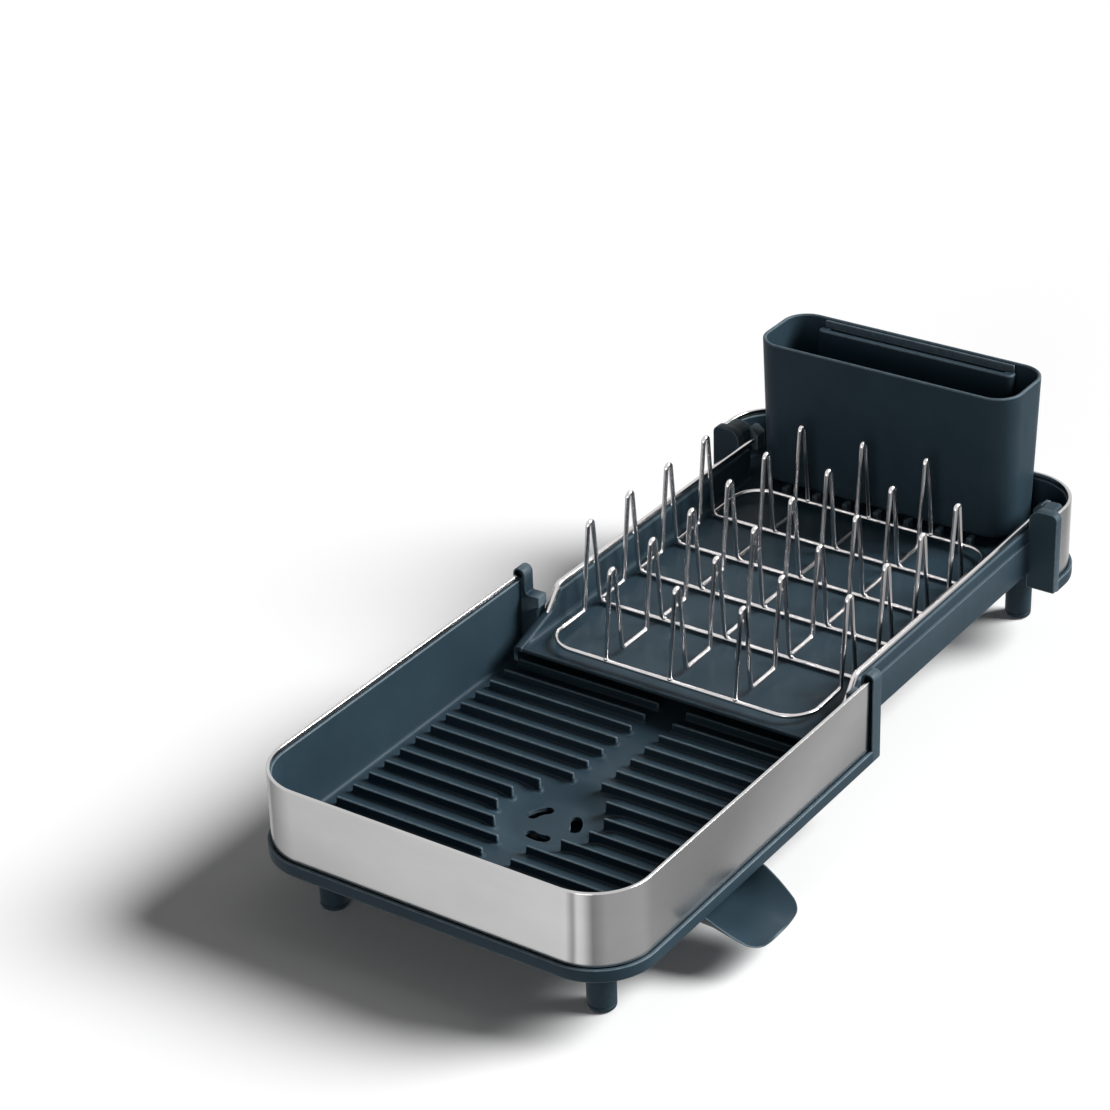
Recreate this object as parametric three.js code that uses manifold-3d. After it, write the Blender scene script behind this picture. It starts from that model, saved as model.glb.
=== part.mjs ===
// Expandable dish rack: a front module with a ribbed drain tray, an extension that slides out of it on two
// rails, a wire plate rack, a cutlery holder with a knife insert, and a swivelling drain spout.
// Millimetres, +Z up. X runs across the rack, Y from the front module to the extension, z = 0 is the floor.
import * as THREE from 'three';
import { mergeVertices } from 'three/addons/utils/BufferGeometryUtils.js';
import Module from 'manifold-3d';

// Clearances
const seat = 0.3; // between two pieces that rest on or fit in each other
const slideGap = 0.6; // beside and under the sliding extension
const overrun = 1; // how far a cutting solid runs past what it cuts

// Steel bands, measured over their outer face
const bandWidth = 250;
const bandBottom = 49.2;
const bandHeight = 47.1;
const bandCorner = 36;
const sheet = 0.9;
const hemWidth = 2.3;
const hemHeight = 2.4;
const frontBandLength = 270.6;
const rearBandLength = 46;

// Moulded walls inside the bands, and the lip that carries the bands
const lipProud = 2.4;
const lipBottom = 40;
const lipEdge = 2;
const lipChamfer = 0.7;
const linerWall = 2;
const linerDrop = 3.6;

// End posts of both modules
const postLength = 9.2;
const postRecess = 0.4;
const postRise = 4;
const postRound = 4.4;
const postWidth = 8.9; // above the guide of the extension's side
const postLeg = 2; // of its groove, inside the band's hem
const postFlange = 1.2; // of its groove, outside the band
const postRoof = 1.2;
const postGroove = 5;
const socketSlope = 7;
const rearPostLength = 7;
const rearPostRise = 2.4;
const rearPostShoulder = 8; // radius of its inboard corner
const rearPostBack = 12.2; // of its top, behind the band's start

// Travel of the extension, and its side skirts
const travel = 226;
const skirtInset = 15.6; // from the bands' outer face
const skirtBottom = 52.8;
const skirtStep = 75.4;
const skirtTop = 83.9;
const skirtRecess = 1.2;
const skirtWall = 2.8;
const wallInset = 6.6;
const floorWall = 2.6;

// Front floor, its drain and its ribs
const frontFloorTop = 43;
const ribTop = 48.3;
const ribWall = 2;
const ribPitch = 15.4;
const ribMargin = 9;
const ribEndMargin = 12;
const drainY = 122.5;
const drainClear = 32.5;
const drainChannel = 9.7;
const dishRadius = 44;
const dishFlat = 21;
const dishDepth = 5.8;
const slotRing = 14.8;
const slotWidth = 7.1;
const slotArcDeg = 38.4; // between the middles of its round ends
const slotCount = 3;
const slotStartDeg = -90;
const halfTurnDeg = 180;
const sillWall = 3;

// Spout, its hub and its pin
const collarRadius = 22.5;
const collarWall = 1.6;
const collarDrop = 3;
const cupWall = 2;
const cupDepth = 7.6;
const bossRadius = 6;
const bossDrop = 2.7;
const hubRadius = 7.5;
const pinRadius = 3;
const pinHeadRadius = 6.2;
const pinHeadWall = 2;
const pinBite = 3.2;
const spoutWall = 2.2;
const spoutProud = 27.4; // of the front band
const spoutShoulderInset = 10; // from the band's outer face
const spoutHalfWidth = 31;
const spoutTipHalf = 23.7; // before its corners are rounded
const spoutTipRound = 7;
const spoutTipBottom = 16.4;
const spoutTipRim = 20.6;
const spoutRimSlope = 0.55;
const spoutHeadroom = 3.4;
const spoutTaper = 2.4; // power of the plan's taper past the shoulder
const spoutBowl = 3; // power of the rise from the middle to the rim
const spoutSteps = 14; // across it
const spoutRunSteps = 12; // along it, up to its rounded corners
const spoutCornerSteps = 4;

// Feet
const footRadius = 8.6;
const footRound = 2;
const footPegRadius = 5;
const footPegLength = 10;
const frontFootSideInset = 33.2; // foot insets are taken from the bands' outer faces
const frontFootInset = 35;
const middleFootSideInset = 51;
const middleFootSetback = 30.2; // from the front posts' back faces
const rearFootSideInset = 38.2;
const rearFootInset = 19.8;

// Extension floor
const overlapLength = 36.2; // the extension's floor inside the front module, up to the posts' back faces
const nearSlopeLength = 35;
const nearSlopeTop = 74;
const nearStepLength = 9; // from the slope up to the wall's full height
const studWidth = 3.6;
const studLength = 7;
const studProud = 5; // of the front row, ahead of the holder
const studsPerRow = 7;

// Rails
const railRadius = 1.9;
const railLift = 0.6; // over the side wall, between its two sockets
const railBend = 6;
const railDropLength = 19;
const railNearSetback = 44.2; // from the extension's near edge
const railDropAngleDeg = 50;
const railSocketDepth = 7;
const socketLength = 10;
const socketSetback = 9; // from the rear post's back face to the socket
const socketInset = 3;
const socketBelow = 8;

// Plate rack
const wireRadius = 1.5;
const tinePitch = 44.9;
const tineHalfBase = 8.85;
const tineHeight = 60.2; // over the row's wires, to the top of the bend
const tineBend = 2.6;
const footBend = 2.6;
const rackInset = 18; // of the outer rows, from the extension's sides
const tinesPerRow = 6;
const rackCorner = 20;
const rackSetback = 6.8; // from the extension's near edge to the near end wire

// Cutlery holder and its knife insert
const holderSideInset = 31.6; // of its rim, from the bands' outer face
const holderSideDraft = 1.4;
const holderTopHalfDepth = 29;
const holderBottomHalfDepth = 24.6;
const holderCorner = 18;
const holderHeight = 101.6;
const holderWall = 2.4;
const holderInset = 29.6; // from the rear band's outer face to the holder's middle
const studHeight = 6;
const holderDrainLength = 22;
const holderDrainWidth = 4.6;
const holderDrainCount = 5;
const holderDrainPitch = 27;
const holderDrainInset = 11.6; // from the holder's front face
const insertInset = 22.1; // of its ends, from the holder's rim
const insertDepth = 9.3;
const insertCorner = 4;
const insertDrop = 5.4; // of its front rim, below the holder's
const insertBackDrop = 1; // of its back plate, below the holder's rim
const insertFrontWall = 2;
const insertBackWall = 2.2;
const insertEndWall = 6.7;
const insertRim = 3; // height of the thicker rim in front of its slot
const insertSlot = 3.4;
const insertFoot = 4;

// Facets
const cornerFacets = 7;
const roundFacets = 32;
const wireSides = 6;
const railSides = 12;

// Places worked out from the sizes above
const bandTop = bandBottom + bandHeight;
const linerTop = bandTop - linerDrop;
const linerOut = sheet + seat;
const linerIn = linerOut + linerWall;
const postStart = frontBandLength + postRecess;
const postEnd = postStart + postLength;
const postTop = bandTop + postRise;
const extensionFront = postEnd + seat + travel;
const rearBandStart = extensionFront + rearPostLength + seat;
const rearEnd = rearBandStart + rearBandLength;
const rearPostTop = postTop - rearPostRise;
const skirtHalf = bandWidth / 2 - skirtInset;
const ribsBeforeDrain = Math.floor((drainY - linerIn - ribEndMargin) / ribPitch + 1 / 2);
const ribsBehindDrain = Math.floor((postStart - drainY - ribEndMargin) / ribPitch + 1 / 2);
const spoutReach = bandWidth / 2 + spoutProud;
const spoutShoulder = bandWidth / 2 - spoutShoulderInset;
const frontFootX = bandWidth / 2 - frontFootSideInset;
const middleFootX = bandWidth / 2 - middleFootSideInset;
const middleFootY = postEnd - middleFootSetback;
const rearFootX = bandWidth / 2 - rearFootSideInset;
const nearY = postEnd - overlapLength;
const frontFloorBottom = frontFloorTop - floorWall;
const dishTop = frontFloorTop - dishDepth;
const dishBottom = dishTop - floorWall;
const wallTopHalf = skirtHalf - skirtRecess;
const railX = skirtHalf - (wallInset + skirtRecess) / 2;
const railZ = skirtTop + railLift + railRadius;
const railNearY = nearY + railNearSetback;
const rearFootY = rearEnd - rearFootInset;
const holderY = rearEnd - holderInset;
const rackNearY = nearY + rackSetback;
const tineY = (k) => rackNearY + tineHalfBase + k * tinePitch;
const rackFarY = tineY(tinesPerRow - 1) + tineHalfBase;
const rackHalf = skirtHalf - rackInset;
const rowPitch = rackHalf / 2;
const studPitch = rowPitch / 2;
const holderTopHalfWidth = bandWidth / 2 - holderSideInset;
const holderBottomHalfWidth = holderTopHalfWidth - holderSideDraft;
const insertHalfWidth = holderTopHalfWidth - insertInset;

// Heights of the extension: its floor carries the rack's rods, and its studs carry the holder
const floorTop = 62.8;
const floorBottom = floorTop - floorWall;
const rodZ = floorTop + seat + wireRadius;
const rowZ = rodZ + seat + 2 * wireRadius;
const studTop = floorTop + studHeight;
const holderBottom = studTop + seat;
const holderTop = holderBottom + holderHeight;

const wasm = await Module();
wasm.setup();

const navy = { color: 0x33444f, roughness: 0.62, metalness: 0 };
const navyRubber = { color: 0x2a3943, roughness: 0.8, metalness: 0 };
const steel = { color: 0xb9b9b7, roughness: 0.32, metalness: 1 };
const chromed = { color: 0xd8d8da, roughness: 0.12, metalness: 1 };

// Solids

/** Closed manifold solid of a geometry, turned so that its faces point out. */
function solid(geometry) {
  const bare = geometry.clone();
  bare.deleteAttribute('normal');
  if (bare.hasAttribute('uv')) bare.deleteAttribute('uv');
  const merged = mergeVertices(bare, 1e-4);
  const p = merged.attributes.position.array;
  const t = Uint32Array.from(merged.index.array);
  let volume = 0;
  const v = (i) => new THREE.Vector3().fromArray(p, 3 * i);
  for (let i = 0; i < t.length; i += 3) volume += v(t[i]).dot(v(t[i + 1]).cross(v(t[i + 2])));
  if (volume < 0) for (let i = 0; i < t.length; i += 3) [t[i], t[i + 1]] = [t[i + 1], t[i]];
  return new wasm.Manifold(new wasm.Mesh({ numProp: 3, vertProperties: Float32Array.from(p), triVerts: t }));
}

/** Geometry of a manifold solid. */
function shell(body) {
  const m = body.getMesh();
  const g = new THREE.BufferGeometry();
  g.setAttribute('position', new THREE.BufferAttribute(m.vertProperties, 3));
  g.setIndex(new THREE.BufferAttribute(m.triVerts, 1));
  g.computeVertexNormals();
  return g;
}

const join = (first, ...rest) => rest.reduce((a, b) => a.add(b), first);
const cut = (first, ...rest) => rest.reduce((a, b) => a.subtract(b), first);

/** Prism of a polygon of [a, b] points, pushed from low to high along an axis. */
function prism(points, axis, low, high) {
  const shape = new THREE.Shape(points.map(([a, b]) => new THREE.Vector2(a, b)));
  const g = new THREE.ExtrudeGeometry(shape, { depth: high - low, bevelEnabled: false });
  g.translate(0, 0, low);
  const [x, y, z] = [[1, 0, 0], [0, 1, 0], [0, 0, 1]].map((a) => new THREE.Vector3(...a));
  const bases = { x: [y, z, x], y: [x, z, y], z: [x, y, z] };
  g.applyMatrix4(new THREE.Matrix4().makeBasis(...bases[axis]));
  return solid(g);
}

/** Box between two corners. */
function block([x0, y0, z0], [x1, y1, z1]) {
  return prism([[x0, y0], [x1, y0], [x1, y1], [x0, y1]], 'z', z0, z1);
}

/** Solid turned about a vertical axis through (x, y), from a closed profile of [radius, z] points. */
function turned(profile, x, y, facets = roundFacets) {
  const loop = [...profile, profile[0]].map(([r, z]) => new THREE.Vector2(r, z));
  const g = new THREE.LatheGeometry(loop, facets);
  g.rotateX(Math.PI / 2);
  g.translate(x, y, 0);
  return solid(g);
}

/** Upright cylinder. */
function disc(radius, low, high, x, y, facets = roundFacets) {
  return turned([[0, low], [radius, low], [radius, high], [0, high]], x, y, facets);
}

/** Points of an arc about (cx, cy), from one angle to another in degrees. */
function arc(cx, cy, radius, fromDeg, toDeg, facets = cornerFacets) {
  return Array.from({ length: facets + 1 }, (_, i) => {
    const a = THREE.MathUtils.degToRad(fromDeg + ((toDeg - fromDeg) * i) / facets);
    return [cx + radius * Math.cos(a), cy + radius * Math.sin(a)];
  });
}

/** Rounded rectangle between two corners, counterclockwise. */
function roundedBox([x0, y0], [x1, y1], r, facets = cornerFacets) {
  return [
    ...arc(x1 - r, y0 + r, r, -90, 0, facets), ...arc(x1 - r, y1 - r, r, 0, 90, facets),
    ...arc(x0 + r, y1 - r, r, 90, 180, facets), ...arc(x0 + r, y0 + r, r, 180, 270, facets),
  ];
}

/** Plan of a module's wall at an inset from the band's outer face: a U that is open behind y = end. */
function frontU(inset, end) {
  const x = bandWidth / 2 - inset;
  const r = bandCorner - inset;
  return [[-x, end], ...arc(-x + r, inset + r, r, 180, 270), ...arc(x - r, inset + r, r, 270, 360), [x, end]];
}

/** The same U for the rear end, open before y = start. */
function rearU(inset, start) {
  const y = (v) => rearEnd - v;
  return frontU(inset, rearEnd - start).map(([a, b]) => [a, y(b)]);
}

/** Wall along an open plan: each [inset, z] point of the profile runs along outline(inset). */
function wall(outline, profile) {
  const runs = profile.map(([inset, z]) => outline(inset).map(([x, y]) => [x, y, z]));
  return skin(runs, false, true);
}

/**
 * Closed skin over runs of points: runs[j][i] joins to its neighbours in i and j, and what stays open is
 * capped. Where the runs are the loops, flat gives a point's place in the cap's plane.
 */
function skin(runs, closedRuns, closedLoop, flat = ([x, y]) => [x, y]) {
  const [m, n] = [runs.length, runs[0].length];
  const index = [];
  const at = (j, i) => (j % m) * n + (i % n);
  for (let j = 0; j < (closedLoop ? m : m - 1); j++) {
    for (let i = 0; i < (closedRuns ? n : n - 1); i++) {
      index.push(at(j, i), at(j, i + 1), at(j + 1, i + 1), at(j, i), at(j + 1, i + 1), at(j + 1, i));
    }
  }
  const cap = (loop, ids, flip) => {
    for (const [a, b, c] of THREE.ShapeUtils.triangulateShape(loop, [])) {
      index.push(...(flip ? [ids[a], ids[c], ids[b]] : [ids[a], ids[b], ids[c]]));
    }
  };
  if (closedLoop && !closedRuns) capEnds(runs, cap, at, n);
  if (!closedLoop) capRuns(runs, cap, at, m, flat);
  const g = new THREE.BufferGeometry();
  g.setAttribute('position', new THREE.Float32BufferAttribute(runs.flat(2), 3));
  g.setIndex(index);
  return solid(g);
}

/** Caps of a wall's two ends: each end's profile is flat, seen along the wall. */
function capEnds(runs, cap, at, n) {
  for (const [i, flip] of [[0, false], [n - 1, true]]) {
    const loop = runs.map((run) => new THREE.Vector2(run[i][0], run[i][2]));
    const area = THREE.ShapeUtils.area(loop);
    cap(loop, runs.map((_, j) => at(j, i)), area > 0 === flip);
  }
}

/** Caps of a stack of flat loops: the first and the last loop. */
function capRuns(runs, cap, at, m, flat) {
  for (const [j, flip] of [[0, true], [m - 1, false]]) {
    const loop = runs[j].map((p) => new THREE.Vector2(...flat(p)));
    cap(loop, runs[j].map((_, i) => at(j, i)), flip);
  }
}

/** Curve through given stations, so that a sweep of stations - 1 steps meets every one of them. */
class Stations extends THREE.Curve {
  constructor(points) {
    super();
    this.points = points;
  }

  getPoint(t, target = new THREE.Vector3()) {
    const s = t * (this.points.length - 1);
    const i = Math.min(Math.floor(s), this.points.length - 2);
    return target.lerpVectors(this.points[i], this.points[i + 1], s - i);
  }

  getPointAt(t, target) {
    return this.getPoint(t, target);
  }

  getTangentAt(t, target = new THREE.Vector3()) {
    const last = this.points.length - 1;
    const i = Math.round(t * last);
    const after = this.points[Math.min(i + 1, last)].clone().sub(this.points[Math.min(i, last - 1)]);
    const before = this.points[Math.max(i, 1)].clone().sub(this.points[Math.max(i - 1, 0)]);
    return target.copy(after.normalize().add(before.normalize())).normalize();
  }
}

/** Stations of a path through corners, each rounded by its own radius with an arc. */
function bentPath(corners, radii, facets) {
  const path = [corners[0].clone()];
  for (let i = 1; i < corners.length - 1; i++) {
    const into = corners[i].clone().sub(corners[i - 1]).normalize();
    const out = corners[i + 1].clone().sub(corners[i]).normalize();
    const turn = into.angleTo(out);
    const back = radii[i] * Math.tan(turn / 2);
    const side = out.clone().addScaledVector(into, -out.dot(into)).normalize();
    const start = corners[i].clone().addScaledVector(into, -back);
    const steps = Math.max(2, Math.round((facets * turn) / Math.PI));
    for (let k = 0; k <= steps; k++) {
      const a = (turn * k) / steps;
      path.push(start.clone().addScaledVector(into, radii[i] * Math.sin(a))
        .addScaledVector(side, radii[i] * (1 - Math.cos(a))));
    }
  }
  path.push(corners.at(-1).clone());
  return path;
}

/** Round wire along stations. */
function wire(points, radius, sides = wireSides) {
  const outline = arc(0, 0, radius, 0, 360, sides).slice(0, -1);
  const section = new THREE.Shape(outline.map((p) => new THREE.Vector2(...p)));
  const path = new Stations(points);
  return solid(new THREE.ExtrudeGeometry(section, { steps: points.length - 1, extrudePath: path }));
}

// Front module

/** Cross-section of a moulded wall: lip outside, ledge under the band, liner inside it. */
function wallProfile() {
  return [
    [-lipProud, lipBottom + lipEdge], [-lipProud, bandBottom - seat - lipChamfer],
    [-lipProud + lipChamfer, bandBottom - seat], [linerOut, bandBottom - seat],
    [linerOut, linerTop], [linerIn, linerTop], [linerIn, lipBottom], [-lipProud + lipEdge, lipBottom],
  ];
}

/** One rib bank's bar at y, from beside the drain's clear space to the wall. */
function rib(side, y) {
  const fromDrain = Math.abs(y - drainY);
  const clear = fromDrain < drainClear ? Math.sqrt(drainClear ** 2 - fromDrain ** 2) : 0;
  const inner = side * Math.max(clear, drainChannel);
  const outer = side * (bandWidth / 2 - linerIn - ribMargin);
  const [x0, x1] = [Math.min(inner, outer), Math.max(inner, outer)];
  return block([x0, y - ribWall / 2, frontFloorBottom], [x1, y + ribWall / 2, ribTop]);
}

function ribs() {
  const bars = [];
  for (let k = -ribsBeforeDrain; k < ribsBehindDrain; k++) {
    for (const side of [-1, 1]) bars.push(rib(side, drainY + (k + 1 / 2) * ribPitch));
  }
  return bars;
}

/** Sloping dish round the drain, with the spout's collar and the pin's boss below it. */
function drainDish() {
  const dish = turned([
    [0, dishBottom], [dishFlat, dishBottom], [dishRadius, frontFloorBottom],
    [dishRadius + overrun, frontFloorBottom], [dishRadius + overrun, frontFloorTop],
    [dishRadius, frontFloorTop], [dishFlat, dishTop], [0, dishTop],
  ], 0, drainY);
  const collar = turned([
    [collarRadius - collarWall, dishBottom - collarDrop], [collarRadius, dishBottom - collarDrop],
    [collarRadius, dishTop], [collarRadius - collarWall, dishTop],
  ], 0, drainY);
  const boss = disc(bossRadius, dishBottom - bossDrop, dishTop, 0, drainY);
  return join(dish, collar, boss);
}

/** Kidney-shaped drain slots on a ring. */
function drainSlots() {
  const half = slotWidth / 2;
  return Array.from({ length: slotCount }, (_, k) => {
    const mid = slotStartDeg + (360 * k) / slotCount;
    const [from, to] = [mid - slotArcDeg / 2, mid + slotArcDeg / 2];
    const end = (deg) => arc(0, 0, slotRing, deg, deg, 1)[0];
    const [ax, ay] = end(from);
    const [bx, by] = end(to);
    const outline = [
      ...arc(0, 0, slotRing + half, from, to), ...arc(bx, by, half, to, to + halfTurnDeg).slice(1),
      ...arc(0, 0, slotRing - half, to, from).slice(1),
      ...arc(ax, ay, half, from - halfTurnDeg, from).slice(1, -1),
    ].map(([x, y]) => [x, y + drainY]);
    return prism(outline, 'z', dishBottom - overrun, dishTop + overrun);
  });
}

/** Moulded post at the front wall's end: a groove for the band, and a guide for the extension's side. */
function frontPost(side) {
  const out = bandWidth / 2 + lipProud;
  const inner = skirtHalf + slideGap;
  const tab = wallTopHalf + slideGap;
  const leg = out - postWidth;
  const outline = [
    [inner, lipBottom], [out - lipEdge, lipBottom], [out, lipBottom + lipEdge],
    ...arc(out - postRound, postTop - postRound, postRound, 0, 90),
    ...arc(leg + postRound, postTop - postRound, postRound, 90, 180),
    [leg, skirtTop - slideGap], [tab, skirtTop - slideGap], [tab, skirtStep + slideGap],
    [inner, skirtStep + slideGap],
  ];
  const round = (postWidth - postFlange - postLeg) / 2;
  const behind = bandWidth / 2 - sheet - seat;
  const belowHem = bandTop - hemHeight - seat;
  const groove = [
    [behind, bandBottom - seat], [out - postFlange, bandBottom - seat],
    ...arc(leg + postLeg + round, postTop - postRoof - round, round, 0, halfTurnDeg, 2 * cornerFacets),
    [leg + postLeg, belowHem], [behind, belowHem],
  ];
  const along = (points, from, to) => prism(points.map(([x, z]) => [side * x, z]), 'y', from, to);
  return cut(along(outline, postStart, postEnd), along(groove, postStart - overrun, postStart + postGroove));
}

/** Peg under a floor, for a push-on foot. */
function footPeg(x, y, top) {
  const leg = disc(footRadius, lipBottom, top, x, y);
  return leg.add(disc(footPegRadius, lipBottom - footPegLength, top, x, y));
}

function frontTray() {
  const outline = (inset) => frontU(inset, postStart + overrun);
  const floorInset = (linerOut + linerIn) / 2;
  const floor = prism(frontU(floorInset, postEnd), 'z', frontFloorBottom, frontFloorTop);
  const hole = disc(dishRadius, frontFloorBottom - overrun, frontFloorTop + overrun, 0, drainY);
  const sillHalf = bandWidth / 2 - floorInset;
  const sill = block([-sillHalf, postEnd - sillWall, lipBottom], [sillHalf, postEnd, skirtBottom - seat]);
  const pegs = [[frontFootX, frontFootInset], [middleFootX, middleFootY]].flatMap(([x, y]) =>
    [-1, 1].map((side) => footPeg(side * x, y, frontFloorBottom + floorWall / 2)));
  const body = join(cut(floor, hole), wall(outline, wallProfile()), sill, ...ribs(), drainDish(),
    frontPost(-1), frontPost(1), ...pegs);
  const bossLow = dishBottom - bossDrop;
  const pinHole = disc(pinRadius + seat, bossLow - overrun, bossLow + pinBite + seat, 0, drainY);
  return cut(body, pinHole, ...drainSlots());
}

/** Steel band with a hem along its top edge. */
function band(outline) {
  return wall(outline, [
    [0, bandBottom], [0, bandTop], [hemWidth, bandTop], [hemWidth, bandTop - hemHeight],
    [sheet, bandTop - hemHeight], [sheet, bandBottom],
  ]);
}

/** Push-on foot with a rounded sole and a bore for its peg. */
function foot(x, y) {
  const top = lipBottom - seat;
  const bore = footPegRadius + seat;
  const boreEnd = lipBottom - footPegLength - seat;
  return turned([
    [0, 0], [footRadius - footRound, 0],
    ...arc(footRadius - footRound, footRound, footRound, -90, 0, 3).slice(1),
    [footRadius, top], [bore, top], [bore, boreEnd], [0, boreEnd],
  ], x, y, roundFacets / 2);
}

// Spout

/** Distances from the drain's axis at which the spout's shape is set out, closer in its rounded corners. */
function spoutDistances(start) {
  const corner = spoutReach - spoutTipRound;
  const run = Array.from({ length: spoutRunSteps }, (_, i) => start + ((corner - start) * i) / spoutRunSteps);
  const round = arc(corner, 0, spoutTipRound, -90, 0, spoutCornerSteps).map(([x]) => x);
  return [...run, ...round];
}

/** Open scoop, a curved slab: across it the height rises from the middle line to the rim. */
function scoop(start) {
  const cup = collarRadius + seat + cupWall;
  const stations = spoutDistances(start).map((x) => {
    const before = Math.max(0, 1 - x / spoutShoulder);
    const past = Math.max(0, (x - spoutShoulder) / (spoutReach - spoutShoulder));
    const corner = Math.max(0, 1 - (spoutReach - x) / spoutTipRound);
    const taper = (spoutHalfWidth - spoutTipHalf) * past ** spoutTaper;
    const half = spoutHalfWidth - (spoutHalfWidth - cup) * before - taper
      - spoutTipRound * (1 - Math.sqrt(1 - corner ** 2));
    const rim = Math.min(lipBottom - spoutHeadroom, spoutTipRim + (spoutReach - x) * spoutRimSlope);
    const bottom = THREE.MathUtils.mapLinear(x, 0, spoutReach, dishBottom - cupDepth, spoutTipBottom);
    return { x, half, rim, middle: bottom + spoutWall };
  });
  const row = ({ x, half, rim, middle }, lift) => Array.from({ length: spoutSteps + 1 }, (_, k) => {
    const v = (2 * k) / spoutSteps - 1;
    return [x, drainY + v * half, middle + (rim - middle) * Math.abs(v) ** spoutBowl + lift];
  });
  const loops = stations.map((s) => [...row(s, -spoutWall), ...row(s, 0).reverse()]);
  return skin(loops, true, false, ([, y, z]) => [y, z]);
}

function drainSpout() {
  const inner = collarRadius + seat;
  const outer = inner + cupWall;
  const low = dishBottom - cupDepth;
  const top = dishBottom - seat;
  const cup = turned([
    [0, low], [outer, low], [outer, top], [inner, top], [inner, low + spoutWall], [0, low + spoutWall],
  ], 0, drainY);
  const mouth = block([0, drainY - inner * Math.SQRT1_2, low + spoutWall],
    [outer + overrun, drainY + inner * Math.SQRT1_2, top + overrun]);
  const hub = disc(hubRadius, low, dishBottom - bossDrop - seat, 0, drainY);
  const lead = scoop(inner * Math.SQRT1_2);
  const bowl = disc(inner, low + spoutWall, lipBottom, 0, drainY);
  const body = join(cut(cup, mouth), cut(lead, bowl), hub);
  return cut(body, disc(pinRadius + seat, low - overrun, lipBottom, 0, drainY));
}

/** Pin with a head below the hub. */
function spoutPin() {
  const low = dishBottom - cupDepth - seat;
  const high = dishBottom - bossDrop + pinBite;
  return turned([
    [0, low - pinHeadWall], [pinHeadRadius, low - pinHeadWall], [pinHeadRadius, low],
    [pinRadius, low], [pinRadius, high], [0, high],
  ], 0, drainY, roundFacets / 2);
}

// Extension

/** Side wall of the extension: a skirt below, set back above its step, cut to a slope at the near end. */
function sideWall(side) {
  const end = rearBandStart + overrun;
  const slopeEnd = nearY + nearSlopeLength;
  const at = (z) => THREE.MathUtils.mapLinear(z, nearSlopeTop, skirtTop, slopeEnd, slopeEnd + nearStepLength);
  const strip = (inner, outer, low, high) => {
    const slope = [[at(high), high], [slopeEnd, nearSlopeTop], [nearY, floorTop]];
    const [from, to] = [side * inner, side * outer];
    return prism([[nearY, low], [end, low], [end, high], ...slope], 'x', Math.min(from, to), Math.max(from, to));
  };
  return join(
    strip(skirtHalf - skirtWall, skirtHalf, skirtBottom, skirtStep),
    strip(skirtHalf - wallInset, skirtHalf - skirtWall + overrun / 2, floorBottom, skirtStep),
    strip(skirtHalf - wallInset, wallTopHalf, floorBottom, skirtTop),
  );
}

/** Post that meets the front module's post when the rack is closed. */
function rearPost(side) {
  const out = bandWidth / 2 + lipProud;
  const inner = railX + railRadius + seat;
  const corner = (x) => arc(x - postRound, rearPostTop - postRound, postRound, 0, 90);
  const shoulder = arc(inner + rearPostShoulder, rearPostTop - rearPostShoulder, rearPostShoulder, 90, 180);
  const outline = [[inner, lipBottom + lipEdge], [out, lipBottom + lipEdge], ...corner(out), ...shoulder];
  const backHalf = bandWidth / 2 - hemWidth - seat;
  const back = [[inner, skirtStep], [backHalf, skirtStep], ...corner(backHalf), ...shoulder];
  const mirrored = (points) => points.map(([x, z]) => [side * x, z]);
  const insideHem = prism(rearU(hemWidth + seat, rearBandStart - postLength), 'z', lipBottom, postTop);
  return join(
    prism(mirrored(outline), 'y', extensionFront, rearBandStart - seat),
    prism(mirrored(back), 'y', rearBandStart - seat, rearBandStart + rearPostBack).intersect(insideHem),
    railSocket(side),
  );
}

const socketStart = () => rearBandStart + socketSetback;

/** Shoulder behind the post that takes the rail's far end. */
function railSocket(side) {
  const [low, inner] = [railZ - socketBelow, railX - socketInset];
  const outline = [[inner, low], [skirtHalf + overrun, low], [skirtHalf + overrun, rearPostTop - postRound],
    [railX + railRadius, railZ + socketSlope], [inner, railZ + socketInset]];
  return prism(outline.map(([x, z]) => [side * x, z]), 'y', socketStart(), socketStart() + socketLength);
}

/** Wire along a rail's way: down at its near end, straight, and into the socket at its far end. */
function rail(side, spare = 0) {
  const drop = THREE.MathUtils.degToRad(railDropAngleDeg);
  const length = railDropLength + spare;
  const corners = [
    [railNearY - length * Math.cos(drop), railZ - length * Math.sin(drop)],
    [railNearY, railZ],
    [socketStart() + railSocketDepth + spare, railZ],
  ].map(([y, z]) => new THREE.Vector3(side * railX, y, z));
  return wire(bentPath(corners, [0, railBend, 0], railSides), railRadius + spare, railSides);
}

/** Row of studs from y on, which carries one long edge of the holder. */
function studs(y) {
  return Array.from({ length: studsPerRow }, (_, k) => {
    const x = (k - (studsPerRow - 1) / 2) * studPitch - studWidth / 2;
    return block([x, y, floorBottom], [x + studWidth, y + studLength, studTop]);
  });
}

function rearTray() {
  const floorInset = (linerOut + linerIn) / 2;
  const profile = wallProfile();
  const outline = (inset) => rearU(inset, rearBandStart - overrun);
  const nearHalf = skirtHalf - overrun;
  const near = block([-nearHalf, nearY, floorBottom], [nearHalf, rearBandStart, floorTop]);
  const far = prism(rearU(floorInset, extensionFront + overrun), 'z', floorBottom, floorTop);
  const legs = [-1, 1].map((side) => footPeg(side * rearFootX, rearFootY, floorBottom + floorWall / 2));
  const carriers = [holderY - holderBottomHalfDepth - studProud, holderY + holderBottomHalfDepth - studLength];
  const body = join(near, far, wall(outline, profile), sideWall(-1), sideWall(1), rearPost(-1), rearPost(1),
    ...carriers.flatMap(studs), ...legs);
  return cut(body, rail(-1, seat), rail(1, seat));
}

// Plate rack

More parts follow.
